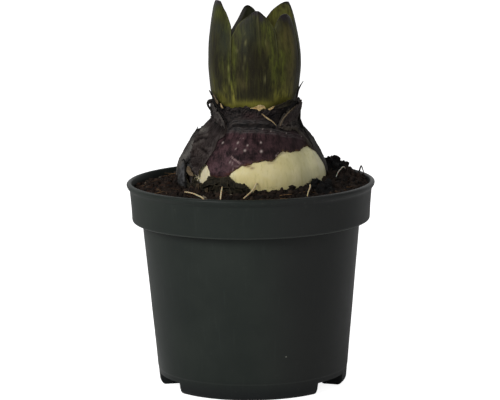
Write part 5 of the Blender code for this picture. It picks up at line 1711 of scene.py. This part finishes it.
def leafMarks(leaf, angle, level, arc, below, across, fromEdge):
    marks = blotsOf(leaf, angle, level, "yellow", "purple", "violet", "bloom", "tan", "pale")
    ribLine = hump(arc, -0.15, 0.2) * smooth(122.0, 128.0, level) * smooth(135.5, 133.0, level)
    marks["pale"] = np.maximum(0.6 * marks["pale"], 0.35 * leaf["rib"] * ribLine)
    marks["margin"] = fade(0.0, 0.9, fromEdge) * smooth(1.0, 5.0, below) * smooth(118.0, 126.0, level)
    marks["margin"] *= 1.0 - 0.8 * marks["yellow"]
    rimWidth = leafSizes["rim"][0] + leafSizes["rim"][1] * leaf["greyRim"] * (across > 0.0)
    marks["rim"] = fade(0.5 * rimWidth, rimWidth, fromEdge)
    tipEdge = np.minimum(below / 1.8, 0.2 + fromEdge / 0.9 + below / 6.0)
    marks["tip"] = fade(0.2, 1.0, tipEdge + 0.25 * fractal(arc, level, leaf["tip"][0], 2.5, 2))
    marks["rimTone"] = leaf["greyRim"] + 0.0 * angle
    # how lit the inner face is painted
    marks["innerLitShare"] = leaf["inner"] + 0.0 * angle
    return marks


def makeLeaf(name, leaf, finish):
    tipAngle, tipHeight = leaf["tip"]
    first = leafSizes["firstRow"]
    share = np.linspace(0.0, 1.0, leafSizes["rows"])
    below = (first + (tipHeight - leafSizes["foot"] - first) * (1.0 - share) ** leafSizes["rowPower"])[None]
    across = np.sin(np.linspace(-1.0, 1.0, leafSizes["columns"]) * math.pi / 2)[:, None]
    lowSide, highSide = leafSide(leaf, "low", below), leafSide(leaf, "high", below)
    spread = np.where(across < 0.0, tipAngle - lowSide, highSide - tipAngle)
    angle = tipAngle + across * spread
    level = tipHeight - below + 0.0 * angle
    arc = np.radians(angle - tipAngle) * leafSizes["girth"]
    tuck = np.maximum(tuckUnder(leaf["tucks"][0], angle), tuckUnder(leaf["tucks"][1], angle))
    edge, middle = leafSizes["edge"], leafSizes["middle"]
    thick = edge + (middle - edge) * (1.0 - across**2) * smooth(0.0, 14.0, below)
    roundEdge = 0.12 + 0.88 * np.sqrt(1.0 - np.abs(across) ** 6)
    thin = thick * roundEdge * (0.35 + 0.65 * smooth(0.0, 1.3, below))
    hood = leaf["hood"] * across**2 * fade(0.0, 9.0, below) + 0.2 * fade(0.0, 3.0, below)
    waveHeight, waveLength = leafSizes["wave"]
    wave = waveHeight * fractal(arc, level * 0.5, 7.0 + tipAngle, waveLength, 2)
    veinHeight, spacing = leafSizes["veins"]
    bent = arc + 0.3 * fractal(arc, level * 0.3, tipAngle, 3.0, 2)
    veins = veinHeight * np.cos(math.tau * bent / spacing)
    rib = leaf["rib"] * hump(arc, 0.0, 0.42) * smooth(112.0, 130.0, level)
    groove = 0.4 * leaf["rib"] * hump(arc, 0.0, 0.9) * smooth(0.0, 6.0, below)
    radius = readCurve(leafSizes["cup"], level) - tuck - hood + wave
    outRadius = radius - 0.25 * (thick - thin) + veins + 0.16 * rib
    inRadius = np.minimum(radius - 0.75 * thick - 0.25 * thin + groove, outRadius - leafSizes["leastWall"])
    outer, inner = polar(angle, outRadius, level), polar(angle, inRadius, level)
    for face in (outer, inner):
        face[..., 0] += readCurve(bulbSizes["axis"], level)
    fromEdge = (1.0 - np.abs(across)) * np.radians(spread) * leafSizes["girth"]
    marks = leafMarks(leaf, angle, level, arc, below, across, fromEdge)
    place = np.stack([arc + tipAngle, level], -1)
    settle(sheetPiece(name.replace("leaf", "blade"), outer, inner, place, marks, finish), "leaf", name)


finish = leafFinish()
for leafName, leaf in leaves.items():
    makeLeaf(leafName, leaf, finish)
print("leaves made")


# Flower bud, with its florets set by a Geometry Nodes tree

budSizes = {
    "profile": [(96.8, 5), (99, 6.2), (103, 7.6), (108, 8.3), (113, 7.6), (117, 5.8), (120, 3.4),
        (121.5, 1.2)],
    "widest": 8.3,
    "stem": (96.8, 121.0, 121.2, 0.72),   # foot, top, pole, and its share of the profile
    "stemColumns": 24,
    "stemRows": 20,
    "storeys": 12,
    "storeyHeights": (99.5, 20.5),   # lowest, and how far up the highest is
    "aroundWidest": 11,
    "leastAround": 3,
    "floretLength": 4.6,
    "floretWidth": 3.3,
    "floretShape": [(0.0, 0.0), (0.12, 0.2), (0.3, 0.36), (0.55, 0.46), (0.75, 0.44), (0.9, 0.3), (1.0, 0.0)],
    "floretSides": 12,
    "tepals": 6,
    "root": (0.62, 1.6),   # where florets start: share of the profile, and how far below their storey
    "rise": (0.45, 1.8),   # how steeply they stand, at the foot and how much more at the top
    "shrink": 0.35,
    "seed": 4,
}


def budFinish():
    finish, shader = newFinish("greenFloret", 0.4, 0.4)
    rib = noiseOf(objectPlace(), 0.8, 3.0)
    paint(shader, coats(tone(84, 112, 40), (reach(mark("along"), 0.1, 0.95), tone(140, 160, 84)),
                        (mark("floretTone", 0.45), tone(104, 96, 110)),
                        (reach(rib, 0.5, 0.75, 0.0, 0.4), tone(162, 176, 110))))
    return finish


def floretGroup(shape, finish):  # a floret on each point, turned to the point's own normal
    group, ends = openGroup("setFlorets", {"Width": 0.003, "Length": 0.005, "Seed": 1})
    outward = namedValue("outward", "FLOAT_VECTOR")
    turn = addNode("FunctionNodeAlignRotationToVector", {"Vector": outward}, axis="Z")
    size = addNode("ShaderNodeCombineXYZ", {"X": ends["Width"], "Y": ends["Width"], "Z": ends["Length"]})
    size = addNode("ShaderNodeVectorMath", {0: size, 3: namedValue("share")}, operation="SCALE")
    source = addNode("GeometryNodeObjectInfo", {"Object": shape}, "Geometry")
    points = addNode("GeometryNodeMeshToPoints", {"Mesh": ends["Geometry"]})
    florets = addNode("GeometryNodeInstanceOnPoints", {"Points": points, "Instance": source, "Rotation": turn,
                                                       "Scale": size})
    closeGroup(florets, "floretTone", chance(ends["Seed"], 0.0, 1.0), finish)
    return group


def floretShape(finish):  # a closed bud, one unit long and wide, with soft tepals
    turn = np.arange(budSizes["floretSides"])[:, None] * fullTurn / budSizes["floretSides"]
    z, r = (np.array(values)[None] for values in zip(*budSizes["floretShape"]))
    grid = polar(turn, r * (1.0 + 0.1 * np.cos(np.radians(budSizes["tepals"] * turn))), z + 0.0 * turn)
    return turnedPiece("floret", grid / mm, finish, {"along": z + 0.0 * turn})


def floretPlaces():  # points with the direction and the size of the floret on each
    places, outward, shares = [], [], []
    lowest, height = budSizes["storeyHeights"]
    rootShare, rootDrop = budSizes["root"]
    for storey in range(budSizes["storeys"]):
        t = storey / (budSizes["storeys"] - 1)
        z = lowest + height * t
        ring = readCurve(budSizes["profile"], z)
        count = max(budSizes["leastAround"], round(budSizes["aroundWidest"] * ring / budSizes["widest"]))
        rise = budSizes["rise"][0] + budSizes["rise"][1] * t**2
        for i in range(count):
            turn = fullTurn * (i + 0.5 * (storey % 2)) / count
            place = polar(turn, ring * rootShare, z - rootDrop)
            place[0] += readCurve(bulbSizes["axis"], z)
            places.append(place)
            outward.append(polar(turn, 1.0, rise) / math.hypot(1.0, rise))
            shares.append(1.0 - budSizes["shrink"] * t**2)
    mesh = bpy.data.meshes.new("floretPlaces")
    mesh.from_pydata((np.array(places) * mm).tolist(), [], [])
    writeMark(mesh, "outward", outward, "FLOAT_VECTOR")
    writeMark(mesh, "share", shares)
    return addObject("floretPlaces", mesh)


def makeBud():
    finish = budFinish()
    foot, top, end, share = budSizes["stem"]
    columns, rows = budSizes["stemColumns"], budSizes["stemRows"]
    angle, height = np.arange(columns)[:, None] * fullTurn / columns, np.linspace(foot, top, rows)[None]
    stem = polar(angle, readCurve(budSizes["profile"], height) * share, height)
    stem[..., 0] += readCurve(bulbSizes["axis"], height)
    plain = np.zeros((columns, rows + 2))
    core = turnedPiece("budStem", np.concatenate([pole(foot, columns), stem, pole(end, columns)], 1), finish,
                       {"along": plain + 0.1, "floretTone": plain})
    spots, shape = floretPlaces(), floretShape(finish)
    sizes = {"Width": budSizes["floretWidth"] * mm, "Length": budSizes["floretLength"] * mm,
             "Seed": budSizes["seed"]}
    florets = growFrom(spots, floretGroup(shape, finish), sizes, "greenFlorets")
    for used in (spots, shape):
        bpy.data.objects.remove(used)
    settle(florets, "flower_bud", "flower_bud")
    settle(core, "flower_bud")


makeBud()
print("flower bud made")
